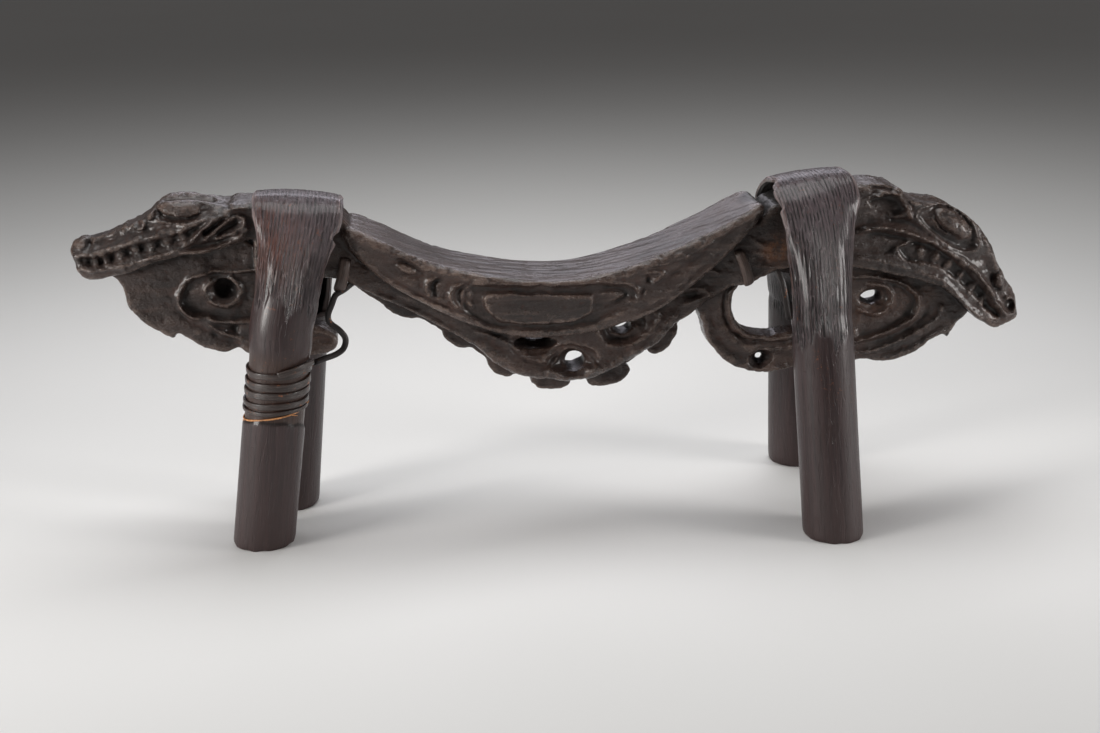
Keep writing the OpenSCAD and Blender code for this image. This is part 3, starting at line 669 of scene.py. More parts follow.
def shade_smooth(mesh):
    mesh.polygons.foreach_set("use_smooth", np.ones(len(mesh.polygons), bool))


def vertex_vectors(mesh, key):
    values = np.empty(len(mesh.vertices) * 3)
    mesh.vertices.foreach_get(key, values)
    return values.reshape(-1, 3)


def points_of(mesh):
    return vertex_vectors(mesh, "co") / MM


def edges_of(mesh):
    ends = np.empty(len(mesh.edges) * 2, np.int32)
    mesh.edges.foreach_get("vertices", ends)
    return ends.reshape(-1, 2)


def neighbour_mean(values, ends, count):
    """Mean of a value over each vertex's neighbours."""
    total = np.zeros_like(values)
    for n in range(values.shape[1]):
        total[:, n] = (np.bincount(ends[:, 0], values[ends[:, 1], n], len(values))
                       + np.bincount(ends[:, 1], values[ends[:, 0], n], len(values)))
    return total / count[:, None]


def hollowness(mesh, rounds):
    """How far each vertex lies below its surroundings, in millimetres; negative on ridges."""
    co = points_of(mesh)
    ends = edges_of(mesh)
    count = np.maximum(np.bincount(ends.ravel(), minlength=len(co)), 1)
    smooth = co
    for _ in range(rounds):
        smooth = 0.5 * smooth + 0.5 * neighbour_mean(smooth, ends, count)
    return ((smooth - co) * vertex_vectors(mesh, "normal")).sum(1)


def give(piece, name, values):
    """Stores one number per vertex for the material to read."""
    layer = piece.data.attributes.new(name, "FLOAT", "POINT")
    layer.data.foreach_set("value", np.asarray(values, np.float32))


def weather(mesh):
    """Adze marks, pits and lengthwise grain in the bar's surface; the saddle's top is rubbed smooth."""
    co = points_of(mesh)
    normal = vertex_vectors(mesh, "normal")
    x, y, z = co.T
    upward = normal[:, 2]
    beside = np.abs(x + 6)
    polished = smoothstep(0.55, 0.8, upward) * smoothstep(108, 100, beside) * smoothstep(9, 14, np.abs(y))
    polished = np.maximum(polished, smoothstep(0.75, 0.9, upward) * smoothstep(112, 104, beside))
    # slanting coordinates, so that the marks follow no direction of the frame
    p = 0.83 * x + 0.56 * z + 0.31 * y + 1.8 * value_noise(x, z + y, (9, 9), 206)
    q = 0.83 * z - 0.56 * x + 0.72 * y + 1.8 * value_noise(z + y, x, (8, 8), 207)
    marks = np.abs(value_noise(p, q, (4.6, 6.2), 201))
    pits = np.clip(value_noise(p, q, (1.7, 1.9), 202) - 0.42, 0, 1)
    grain = value_noise(x, z + y + 0.8 * value_noise(x, z + y, (18, 9), 204), (13, 1.25), 203)
    lift = (0.15 * (marks - 0.4) - 0.65 * pits) * (1 - 0.93 * polished) + (0.09 + 0.08 * polished) * grain
    lift += 0.08 * value_noise(q, p, (1.25, 1.15), 205) * (1 - 0.8 * polished)
    mesh.vertices.foreach_set("co", ((co + normal * lift[:, None]) * MM).ravel())
    mesh.update()


def carved_bar():
    saddle()
    beam_and_keel()
    scalloped_fin()
    right_loop()
    left_stub()
    left_throat()
    right_throat()
    left_head()
    right_head()
    keel_openings()
    verts, quads = surface_nets(FIELD)
    piece = new_mesh("carved_bar_wood", verts * GRID + LOW, quads)
    weather(piece.data)
    share = BAR_TRIANGLES / (2 * len(quads))
    if share < 1:
        thin = piece.modifiers.new("thin", "DECIMATE")
        thin.ratio = share
        apply_modifiers(piece)
    mesh = piece.data
    shade_smooth(mesh)
    give(piece, "hollow", hollowness(mesh, 12))
    give(piece, "hollow_wide", hollowness(mesh, 60))
    return piece


# ---- bamboo yokes ----------------------------------------------------------------------------

TUBE_R = 15.0
TUBE_WALL = 4.6
STRAP_WALL = 3.6
COLUMNS = 216
ROW = 1.15
EASE = 9  # rows over which a change of the section is spread
X_AXIS = np.array([1.0, 0, 0])

# The scraped waist of the left front leg lets both of these lie a little inside the leg's own radius
LASHING_RADIUS = 14.85
FIBRE_RADIUS = 14.7

# Leg axes, from the foot on the floor to the point where the tube turns into the strap
LEFT_FRONT = ((-153, -23, 0), (-139.5, -24.5, 100))
LEFT_REAR = ((-142, 23, 0), (-132.5, 24.5, 100))
RIGHT_FRONT = ((130, -49, 0), (122, -32, 118))
RIGHT_REAR = ((138, 49, 0), (128, 32, 118))


def unit(v):
    return v / np.linalg.norm(v, axis=-1, keepdims=True)


def run_length(path):
    """Distance along a path at each of its points."""
    return np.concatenate([[0], np.cumsum(np.linalg.norm(np.diff(path, axis=0), axis=1))])


def leg_frame(leg):
    """Foot, climb per millimetre of height, direction up, sideways and forwards of a leg."""
    foot, top = np.array(leg[0], float), np.array(leg[1], float)
    up = unit(top - foot)
    across = unit(X_AXIS - up * up[0])
    return foot, (top - foot) / top[2], up, across, np.cross(across, up)


def outermost(leg, z):
    """The point of a leg's skin furthest from the bar, at axis height z."""
    foot, climb, _, _, forwards = leg_frame(leg)
    out = forwards if foot[1] < 0 else -forwards
    return foot + climb * z + out * TUBE_R


def axis_beside(leg, points):
    """The points of a leg's axis level with the given ones."""
    foot, climb = leg_frame(leg)[:2]
    return np.array([foot + climb * p[2] for p in points])


def around_leg(leg, z, angle, radius):
    """A point at height z beside a leg; angle 0 faces the front, 90 the right."""
    foot, climb, up, across, forwards = leg_frame(leg)
    a = np.radians(angle)
    at = foot + climb * z + radius * (across * np.sin(a) + forwards * np.cos(a))
    return at + up * (z - at[2]) / up[2]


def shell_mesh(name, outer, inner, keep, values):
    """A closed skin between two grids of points that wrap sideways; keep marks the cells that exist."""
    rows, n = keep.shape
    count = outer.shape[0] * n
    index = np.arange(count).reshape(-1, n)
    i, j = np.nonzero(keep)
    k = (j + 1) % n
    a, b, c, d = index[i, j], index[i, k], index[i + 1, k], index[i + 1, j]
    padded = np.zeros((rows + 2, n), bool)
    padded[1:-1] = keep
    quads = [np.stack([a, b, c, d], 1), np.stack([d, c, b, a], 1) + count]
    for p, q, open_side in ((a, b, ~padded[i, j]), (c, d, ~padded[i + 2, j]),
                            (b, c, ~keep[i, k]), (d, a, ~keep[i, j - 1])):
        p, q = p[open_side], q[open_side]
        quads.append(np.stack([q, p, p + count, q + count], 1))
    quads = np.vstack(quads)
    used, quads = np.unique(quads, return_inverse=True)
    verts = np.concatenate([outer.reshape(-1, 3), inner.reshape(-1, 3)])[used]
    piece = new_mesh(name, verts, quads.reshape(-1, 4))
    for key, (on_outer, on_inner) in values.items():
        give(piece, key, np.concatenate([on_outer.ravel(), on_inner.ravel()])[used])
    piece.data.set_sharp_from_angle(angle=math.radians(42))
    return piece


def yoke(name, front, rear, over, half_angle, half_width, tilt, notch, skin_end, grooved, scrape):
    """One piece of bamboo: two hollow legs whose outer halves run on as a strap over the bar.

    over        points of the strap's outermost line, front to rear
    half_angle  pairs of height and degrees: how far the strap's section still curls
    half_width  for the left and the right edge, pairs of distance from the middle of the top and
                millimetres of half width
    tilt        degrees by which the strap leans to the left over the top of the bar
    notch       heights where the inner halves of the front and the rear leg are cut away
    skin_end    height where the shaved strap begins
    grooved     how strongly the open vessels show as grooves in the strap
    scrape      height range of the waist scraped into the front leg, or None
    """
    rise = [outermost(front, z) for z in range(0, 105, 8)]
    fall = [outermost(rear, z) for z in range(104, -1, -8)]
    dense = spline(rise + [np.array(p, float) for p in over] + fall, 24)
    length = run_length(dense)
    steps = np.linspace(0, length[-1], int(length[-1] / ROW))
    path = np.stack([np.interp(steps, length, dense[:, n]) for n in range(3)], 1)
    # wide rows will do near the feet
    dull = (path[:, 2] < 58) & (np.arange(len(path)) % 2 == 1)
    dull[[0, 1, -2, -1]] = False
    path, steps = path[~dull], steps[~dull]
    top = steps[np.argmax(path[:, 2] - 0.02 * np.abs(path[:, 1]))]
    u = steps - top
    tangent = unit(np.gradient(path, steps, axis=0))
    for _ in range(6):
        tangent[1:-1] = unit(tangent[:-2] + 2 * tangent[1:-1] + tangent[2:])
    across = unit(X_AXIS - tangent * tangent[:, :1])
    out = np.cross(across, tangent)
    lean = np.radians(tilt * np.exp(-(u / 27) ** 4))[:, None]
    across, out = across * np.cos(lean) + out * np.sin(lean), out * np.cos(lean) - across * np.sin(lean)
    axis_z = path[:, 2] - out[:, 2] * TUBE_R
    height = path[:, 2]
    notch = np.where(u < 0, notch[0], notch[1])

    full = TUBE_R * math.pi / 2
    curl = np.radians(np.interp(height, *np.array(half_angle).T))
    curl = np.where(height < half_angle[0][0], math.pi / 2, curl)
    ease = np.ones(EASE) / EASE
    curl[EASE - 1:1 - EASE] = np.convolve(curl, ease, "same")[EASE - 1:1 - EASE]
    sides = []
    for pairs in half_width:
        wide = np.interp(u, *np.array(pairs).T)
        wide += 0.2 * value_noise(u, u * 0, (4.3, 1), 5) * smoothstep(notch, notch + 20, height)
        sides.append(wide)

    angle = np.linspace(-180, 180, COLUMNS, endpoint=False)[None, :]
    share = angle / 90
    wide = np.where(angle < 0, sides[0][:, None], sides[1][:, None])
    wide = np.where((height < notch - 2)[:, None], full, wide)
    radius = (full / curl)[:, None]
    turn = share * wide / radius
    on_strap = smoothstep(notch, notch + 14, height)[:, None]
    arc = share * wide
    wall = TUBE_WALL + (STRAP_WALL - TUBE_WALL) * on_strap

    # shaved strap: its skin is gone down to a ragged line, and the fibres stand out
    column = arc + 0 * u[:, None]
    row = u[:, None] + 0 * arc
    tall = height[:, None] + 0 * arc
    ragged = (skin_end + 6 * value_noise(column, row * 0, (3.2, 1), 11)
              + 3 * value_noise(column, row * 0, (1.1, 1), 12))
    shaved = smoothstep(ragged - 1.5, ragged + 3.0, tall)
    drift = column + 0.15 * value_noise(row, row * 0, (17, 1), 14)
    fibres = (0.06 * value_noise(drift, row, (1.7, 50), 15) + 0.06 * value_noise(drift, row, (0.95, 22), 16)
              - 0.5 * np.clip(value_noise(drift, row, (1.3, 9), 17) - 0.42, 0, 1))
    lift = shaved * (fibres - 0.35) + 0.05 * value_noise(column, row, (5, 40), 18)
    # the tube isn't quite round
    lift += 0.22 * value_noise(angle / 60 + 0 * row, row, (1, 60), 19) * (1 - shaved)
    from_edge = np.where(np.abs(share) <= 1.0001, wide - np.abs(arc), 9.0)
    is_open = smoothstep(notch - 1, notch + 1, height)[:, None]
    rounding = smoothstep(1.7, 0.0, from_edge) * is_open
    lift -= 1.0 * rounding
    sink = 0.8 * rounding
    end = axis_z[:, None]
    lift -= 0.7 * smoothstep(1.6, 0.0, end) * (1 + 0.8 * value_noise(column, row * 0, (4, 1), 20))
    scraped = 0 * tall
    if scrape:
        low, high = scrape
        skin = low - 0.1 * column - 0.0088 * column ** 2 + 0.6 * value_noise(column, row * 0, (5, 1), 21)
        in_front = row < 0
        scraped = in_front * smoothstep(skin - 1.3, skin + 1.1, tall) * smoothstep(high + 8, high - 2, tall)
        lift -= scraped * (0.8 + 0.1 * value_noise(column, row, (1.5, 9), 23))

    def place(offset):
        r = radius + offset
        at = (path[:, None, :] + across[:, None, :] * (r * np.sin(turn))[..., None]
              + out[:, None, :] * (r * np.cos(turn) - radius)[..., None])
        level = smoothstep(95, 60, axis_z)[:, None]
        slide = (axis_z[:, None] - at[..., 2]) / tangent[:, 2:3] * level
        return at + tangent[:, None, :] * slide[..., None]

    outer = place(lift)
    inner = place(-wall + sink)
    middle = 0.5 * (np.abs(share) + np.abs(np.roll(share, -1, 1)))
    below = 0.5 * (height[:-1] + height[1:]) < notch[:-1]
    keep = (middle < 1) | below[:, None]
    zero = np.zeros(outer.shape[:2])
    values = {"along": (row, row), "around": (column, column), "shaved": (shaved, shaved * 0 + 0.3),
              "thick": (zero, zero + 1), "fibre": (fibres * shaved, zero), "level": (tall, tall),
              "edge": (smoothstep(7, 0, from_edge) * is_open, zero), "grooved": (grooved * shaved, zero),
              "scraped": (scraped, zero)}
    return shell_mesh(name, outer, inner, keep, values)


def left_yoke():
    over = [(-138.2, -39.4, 112), (-135.7, -38.4, 124), (-133.6, -35.8, 136), (-131, -31.6, 148),
            (-128.8, -26.2, 158), (-127.4, -19, 165.8), (-127, -9.5, 169.6), (-127, 0, 170.3),
            (-127, 9.5, 169.6), (-127, 19, 165.8), (-127.6, 26.2, 158), (-128.4, 31.6, 148),
            (-129, 35.8, 136), (-129.6, 38.4, 124), (-130.6, 39.4, 112)]
    curl = [(112, 90), (124, 88), (136, 80), (142, 72), (150, 58), (157, 42), (162, 30), (166, 18), (170, 9)]
    left = [(-70, 23.5), (-54, 22), (-45, 20.6), (-34, 21.2), (-22, 22.6), (0, 23), (22, 22.6), (40, 22.5),
            (70, 23.5)]
    right = [(-70, 23.5), (-58, 22), (-46, 19.6), (-38, 19.8), (-32.4, 20.6), (-31, 18.2), (-28.4, 19),
             (-26.5, 20.6), (-20, 21), (0, 20.4), (22, 20.6), (40, 23), (56, 24.5), (70, 23.5)]
    return yoke("left_yoke_bamboo", LEFT_FRONT, LEFT_REAR, over, curl, (left, right), -5, (86, 104), 124,
                0.7, (66.8, 96))


def right_yoke():
    over = [(122.4, -47.4, 112), (122.2, -45.4, 122), (121.8, -41.8, 134), (121.2, -37.2, 146),
            (120.4, -31.4, 156.6), (119.4, -24, 165.6), (118.6, -13, 171.8), (118.2, 0, 173.4),
            (118.2, 13, 171.8), (118.4, 24, 165.6), (119.8, 31.4, 156.6), (121.6, 37.2, 146),
            (123.8, 41.8, 134), (126, 45.4, 122), (127.6, 47.4, 112)]
    curl = [(116, 90), (124, 87), (136, 79), (146, 67), (154, 52), (160, 38), (165, 25), (170, 13), (174, 7)]
    left = [(-75, 23.5), (-54, 21.8), (-46, 20), (-40, 18.9), (-33, 18.6), (-28.6, 19.2), (-26.4, 17.2),
            (-22, 18), (-18, 18.8), (-14, 18.6), (-11, 17), (-8, 17.4), (-5, 15.6), (-2, 14.4), (0.5, 13.4),
            (2.5, 14.6), (5, 15.2), (8, 15.4), (14, 15.6), (20, 16.2), (26, 17.4), (34, 19.6), (40, 21.2),
            (75, 23.5)]
    right = [(-75, 23.5), (-50, 22.2), (-40, 21.9), (-34, 23.2), (-28, 24.6), (-20, 23.8), (0, 22.6),
             (22, 22), (40, 22.6), (75, 23.5)]
    return yoke("right_yoke_bamboo", RIGHT_FRONT, RIGHT_REAR, over, curl, (left, right), 8, (112, 127), 101,
                1.0, None)


# ---- cane and fibre --------------------------------------------------------------------------


def ribbon(name, path, facing, width, thick, power=2.6, sides=18, rubbed=0.0):
    """A strip with rounded edges along a path; facing is the way its broad face looks."""
    path = np.asarray(path, float)
    n = len(path)
    width = np.zeros(n) + width
    thick = np.zeros(n) + thick
    run = unit(np.gradient(path, axis=0))
    side = unit(np.cross(run, np.broadcast_to(facing, path.shape)))
    face = np.cross(side, run)
    a = np.linspace(0, 2 * math.pi, sides, endpoint=False)
    flat = np.sign(np.cos(a)) * np.abs(np.cos(a)) ** (2 / power)
    lift = np.sign(np.sin(a)) * np.abs(np.sin(a)) ** (2 / power)
    # rounded ends
    length = run_length(path)
    close = np.sqrt(np.clip(np.minimum(length, length[-1] - length) / 0.9, 0, 1))
    close = np.maximum(close, 0.25)
    rings = (path[:, None] + side[:, None] * (flat[None] * (width * close)[:, None] / 2)[..., None]
             + face[:, None] * (lift[None] * (thick * close)[:, None] / 2)[..., None])
    verts = rings.reshape(-1, 3)
    faces = []
    for i in range(n - 1):
        for j in range(sides):
            k = (j + 1) % sides
            faces.append((i * sides + j, i * sides + k, (i + 1) * sides + k, (i + 1) * sides + j))
    faces.append(tuple(range(sides))[::-1])
    faces.append(tuple((n - 1) * sides + j for j in range(sides)))
    mesh = bpy.data.meshes.new(name)
    mesh.from_pydata([tuple(v * MM) for v in verts], [], faces)
    mesh.update()
    piece = bpy.data.objects.new(name, mesh)
    bpy.context.scene.collection.objects.link(piece)
    shade_smooth(mesh)
    mesh.set_sharp_from_angle(angle=math.radians(50))
    give(piece, "along", np.repeat(length, sides))
    give(piece, "around", np.tile(flat, n) * np.repeat(width, sides) / 2)
    give(piece, "rubbed", np.full(n * sides, rubbed))
    return piece


def joined(name, pieces):
    """Joins several meshes into one piece."""
    verts, faces, values = [], [], {"along": [], "around": [], "rubbed": []}
    base = 0
    for piece in pieces:
        mesh = piece.data
        verts += [tuple(v.co) for v in mesh.vertices]
        faces += [tuple(base + v for v in f.vertices) for f in mesh.polygons]
        for key in values:
            values[key] += [item.value for item in mesh.attributes[key].data]
        base = len(verts)
        bpy.data.objects.remove(piece)
    mesh = bpy.data.meshes.new(name)
    mesh.from_pydata(verts, [], faces)
    mesh.update()
    whole = bpy.data.objects.new(name, mesh)
    bpy.context.scene.collection.objects.link(whole)
    shade_smooth(mesh)
    mesh.set_sharp_from_angle(angle=math.radians(50))
    for key in values:
        give(whole, key, values[key])
    return whole


def even(points, step=0.8):
    """A smooth curve through given points with even spacing."""
    dense = spline(points, 16)
    length = run_length(dense)
    at = np.linspace(0, length[-1], max(int(length[-1] / step), 6))
    return np.stack([np.interp(at, length, dense[:, n]) for n in range(3)], 1)


def left_brace():
    # a broad hook over the beam's front, and the dark strip that runs from under the beam to the lashing
    hook = even([(-107, -13.4, 140.6), (-107.4, -15.6, 138.8), (-108.2, -16.6, 134.4), (-109.4, -16.8, 129.6),
                 (-110.4, -15.8, 126.4), (-110.4, -12.5, 125.2)])
    strip = even([(-101.5, -9.5, 128.6), (-104.6, -12.4, 127.4), (-108.6, -14.8, 125), (-112.4, -16, 123),
                  (-114.4, -16.6, 118.7), (-116.5, -17, 113.2), (-115.6, -17.2, 109.4),
                  (-111.4, -17.4, 105.7), (-108.7, -17.6, 101.4), (-109.8, -18.4, 96.8), (-113.6, -20, 94.4),
                  (-118.6, -21.6, 93.2), (-122.4, -21.8, 91.8), (-124.6, -19.2, 90.2), (-126.2, -15.4, 88.4),
                  (-128.4, -11.8, 86.6)])
    tilt = np.array([0, -1.0, 0.15])
    return joined("left_brace_cane", [ribbon("hook", hook, tilt, 5.6, 2.4, 2.2, rubbed=1),
                                      ribbon("strip", strip, tilt, 3.0, 2.0, 2.4)])


def right_brace():
    hook = even([(84.8, -13.4, 138), (85, -15.4, 136.4), (86.4, -16.4, 133.4), (88.4, -16.6, 128),
                 (89.9, -16, 122.8), (90.6, -13, 120.8)])
    strip = even([(91, -10, 121.6), (96, -9.4, 124), (100.4, -10.4, 126), (104.2, -12.6, 127),
                  (106.8, -14.6, 122.6), (108.6, -15.5, 115.5), (110, -15.5, 108.5), (111.4, -15.5, 101.6)])
    tilt = np.array([0, -1.0, 0.1])
    return joined("right_brace_cane", [ribbon("hook", hook, tilt, 5.2, 2.4, 2.2, rubbed=1),
                                       ribbon("strip", strip, tilt, 2.9, 1.5, 2.4)])


def left_leg_lashing():
    # five uneven wraps that climb behind the leg, then an end that rises across the front
    levels = [71.9, 75.2, 80.4, 84.9, 90.6, 89.6]
    widths = [2.0, 2.9, 3.4, 3.8, 3.1, 2.8]

    def wave(degrees):
        return math.sin(math.radians(degrees))

    points, facing, width = [], [], []
    for turn in range(len(levels) - 1):
        z, z_next = levels[turn:turn + 2]
        wide, wide_next = widths[turn:turn + 2]
        for a in range(-150, 210, 5):
            share = smoothstep(100, 210, a)
            level = z + (z_next - z) * share
            level += 0.28 * wave(a * 2 + 70 * turn) + 0.12 * wave(a * 5 + 40 * turn)
            grip = LASHING_RADIUS + 0.12 * wave(a * 3 + 50 * turn)
            points.append(around_leg(LEFT_FRONT, level, a, grip))
            facing.append(points[-1] - around_leg(LEFT_FRONT, level, a, 0))
            width.append(wide + (wide_next - wide) * share)
    wraps = ribbon("wraps", points, np.array(facing), np.array(width), 1.25, 4.5, rubbed=0.3)
    tail = []
    for a, z, r in ((-2, 91.2, 14.8), (10, 91.9, 15.3), (25, 92.9, 15.7), (40, 93.7, 15.9), (55, 94.1, 16.0),
                    (70, 94.0, 16.1), (84, 93.6, 16.3)):
        tail.append(around_leg(LEFT_FRONT, z, a, r))
    tail = even(tail)
    end = ribbon("tail", tail, tail - axis_beside(LEFT_FRONT, tail), 2.9, 1.1, 4.5, rubbed=0.35)
    return joined("left_leg_lashing_cane", [wraps, end])


def left_lashing_fibre():
    knots = [(-180, 67.0), (-130, 66.4), (-90, 66.2), (-60, 66.9), (-35, 68.2), (-10, 69.2), (15, 70.0),
             (40, 70.8), (62, 71.6), (80, 72.2), (110, 71.4), (150, 69.2), (178, 67.1)]
    points = []
    for a, z in knots:
        points.append(around_leg(LEFT_FRONT, z, a, FIBRE_RADIUS + 0.05 * math.sin(a)))
    loop = even(points, 0.7)
    strand = ribbon("strand", loop, loop - axis_beside(LEFT_FRONT, loop), 0.85, 0.7, 2.0, 10)
    frays = [strand]
    for a, z, da, dz in ((70, 71.9, 16, 1.6), (-62, 66.9, -14, -1.2), (30, 70.5, 14, -1.0)):
        stray = [around_leg(LEFT_FRONT, z + dz * t, a + da * t, 14.9 + 0.7 * t)
                 for t in (0, 0.35, 0.7, 1)]
        frays.append(ribbon("stray", even(stray, 0.6), np.array([0, -1.0, 0]), 0.4, 0.4, 2.0, 8))
    return joined("left_lashing_fibre_strand", frays)


# ---- shader helpers --------------------------------------------------------------------------


class Shader:
    """Short calls for building a node material."""

    def __init__(self, name):
        self.material = bpy.data.materials.new(name)
        self.material.use_nodes = True
        self.nodes = self.material.node_tree.nodes
        self.links = self.material.node_tree.links
        self.skin = self.nodes["Principled BSDF"]

    def put(self, socket, value):
        if isinstance(value, bpy.types.NodeSocket):
            self.links.new(value, socket)
        elif isinstance(value, (tuple, list)) and len(value) == 3 and socket.type == "RGBA":
            socket.default_value = (*value, 1)
        else:
            socket.default_value = value

    def node(self, kind, inputs, **settings):
        """Makes a node and sets its sockets, by name or number; gives back its outputs."""
        made = self.nodes.new("ShaderNode" + kind)
        for key, value in settings.items():
            setattr(made, key, value)
        for key, value in inputs.items():
            self.put(made.inputs[key], value)
        return made.outputs

    def attribute(self, name):
        return self.node("Attribute", {}, attribute_name=name)["Fac"]

    def math(self, how, *values):
        return self.node("Math", dict(enumerate(values)), operation=how)[0]

    def times(self, a, b):
        return self.math("MULTIPLY", a, b)

    def plus(self, a, b):
        return self.math("ADD", a, b)

    def minus(self, a, b):
        return self.math("SUBTRACT", a, b)

    def remap(self, value, low, high, to_low=0.0, to_high=1.0):
        return self.node("MapRange", {"Value": value, "From Min": low, "From Max": high, "To Min": to_low,
                                      "To Max": to_high}, interpolation_type="SMOOTHSTEP")[0]

    def noise(self, scale, vector=None, detail=4.0, rough=0.55, distortion=0.0):
        inputs = {"Scale": scale, "Detail": detail, "Roughness": rough, "Distortion": distortion}
        if vector is not None:
            inputs["Vector"] = vector
        return self.node("TexNoise", inputs)["Fac"]

    def place(self, scale=(1, 1, 1)):
        where = self.node("TexCoord", {})["Object"]
        return self.node("Mapping", {"Scale": scale, "Vector": where})["Vector"]

    def around(self, at, fades, full):
        """1 within the radius full of a point, 0 beyond the radius fades."""
        away = self.node("VectorMath", {0: self.place(), 1: at}, operation="DISTANCE")["Value"]
        return self.remap(away, fades, full)

    def mix(self, share, a, b):
        return self.node("Mix", {0: share, 6: a, 7: b}, data_type="RGBA")[2]

    def vector(self, x, y, z):
        return self.node("CombineXYZ", {0: x, 1: y, 2: z})[0]

    def bump(self, height, strength, distance, under=None):
        inputs = {"Height": height, "Strength": strength, "Distance": distance}
        if under is not None:
            inputs["Normal"] = under
        return self.node("Bump", inputs)["Normal"]

    def finish(self, colour, roughness, normal):
        self.put(self.skin.inputs["Base Color"], colour)
        self.put(self.skin.inputs["Roughness"], roughness)
        self.links.new(normal, self.skin.inputs["Normal"])
        return self.material


def wood_material():
    s = Shader("patinated_wood")
    hollow = s.attribute("hollow")
    wide = s.attribute("hollow_wide")
    grain = s.noise(150, s.place((0.16, 1.6, 1.6)), detail=6, rough=0.66, distortion=0.5)
    blotch = s.noise(26, s.place((0.6, 1, 1)), detail=4, rough=0.6)
    grit = s.noise(900, s.place((0.7, 1, 1)), detail=4, rough=0.7)
    dust = s.noise(240, s.place(), detail=5, rough=0.72)
    colour = s.mix(s.remap(blotch, 0.34, 0.66), (0.0125, 0.0071, 0.0057), (0.0370, 0.0203, 0.0156))
    colour = s.mix(s.times(s.remap(grain, 0.46, 0.66), 0.55), colour, (0.062, 0.038, 0.030))
    red = s.times(s.remap(hollow, 0.0, 0.35), s.remap(dust, 0.42, 0.62))
    colour = s.mix(s.times(red, 0.6), colour, (0.050, 0.0165, 0.0085))
    rust = s.times(s.remap(blotch, 0.58, 0.67), s.remap(grit, 0.42, 0.60))
    colour = s.mix(s.times(rust, 0.45), colour, (0.085, 0.036, 0.018))
    # orange brown stain on the beam beside the right strap
    stain = s.times(s.around((0.1035, -0.014, 0.138), 0.0105, 0.002), s.remap(dust, 0.36, 0.58))
    colour = s.mix(s.times(stain, 0.8), colour, (0.15, 0.058, 0.022))
    # ridges are rubbed paler, most of all the commas left of the lozenge
    rub = s.times(s.remap(hollow, -0.08, -0.42), s.remap(dust, 0.34, 0.60))
    commas = s.around((-0.058, -0.020, 0.124), 0.032, 0.012)
    colour = s.mix(s.times(rub, s.plus(0.46, s.times(commas, 0.34))), colour,
                   (0.17, 0.120, 0.098))
    # painted shade: the deepest recesses are darkened almost to black
    colour = s.mix(s.times(s.remap(wide, 0.2, 1.3), 0.82), colour, (0.0045, 0.0026, 0.0020))
    # painted shade in the corner between the saddle and the right strap, where the strap shades the beam
    painted_shade_corner = s.around((0.1025, 0.002, 0.161), 0.017, 0.012)
    colour = s.mix(s.times(painted_shade_corner, 0.93), colour, (0.0022, 0.0014, 0.0012))
    rough = s.plus(s.remap(hollow, -0.30, 0.25, 0.20, 0.62), s.remap(grit, 0.3, 0.7, -0.08, 0.16))
    rough = s.plus(rough, s.remap(blotch, 0.3, 0.7, 0.05, -0.04))
    rough = s.plus(rough, s.times(painted_shade_corner, 0.4))
    fine = s.plus(grain, s.times(grit, 0.9))
    normal = s.bump(fine, 0.9, 0.0007, s.bump(dust, 0.55, 0.0011))
    s.skin.inputs["Specular IOR Level"].default_value = 0.38
    s.skin.inputs["Coat Weight"].default_value = 0.30
    s.skin.inputs["Coat Roughness"].default_value = 0.2
    return s.finish(colour, rough, normal)


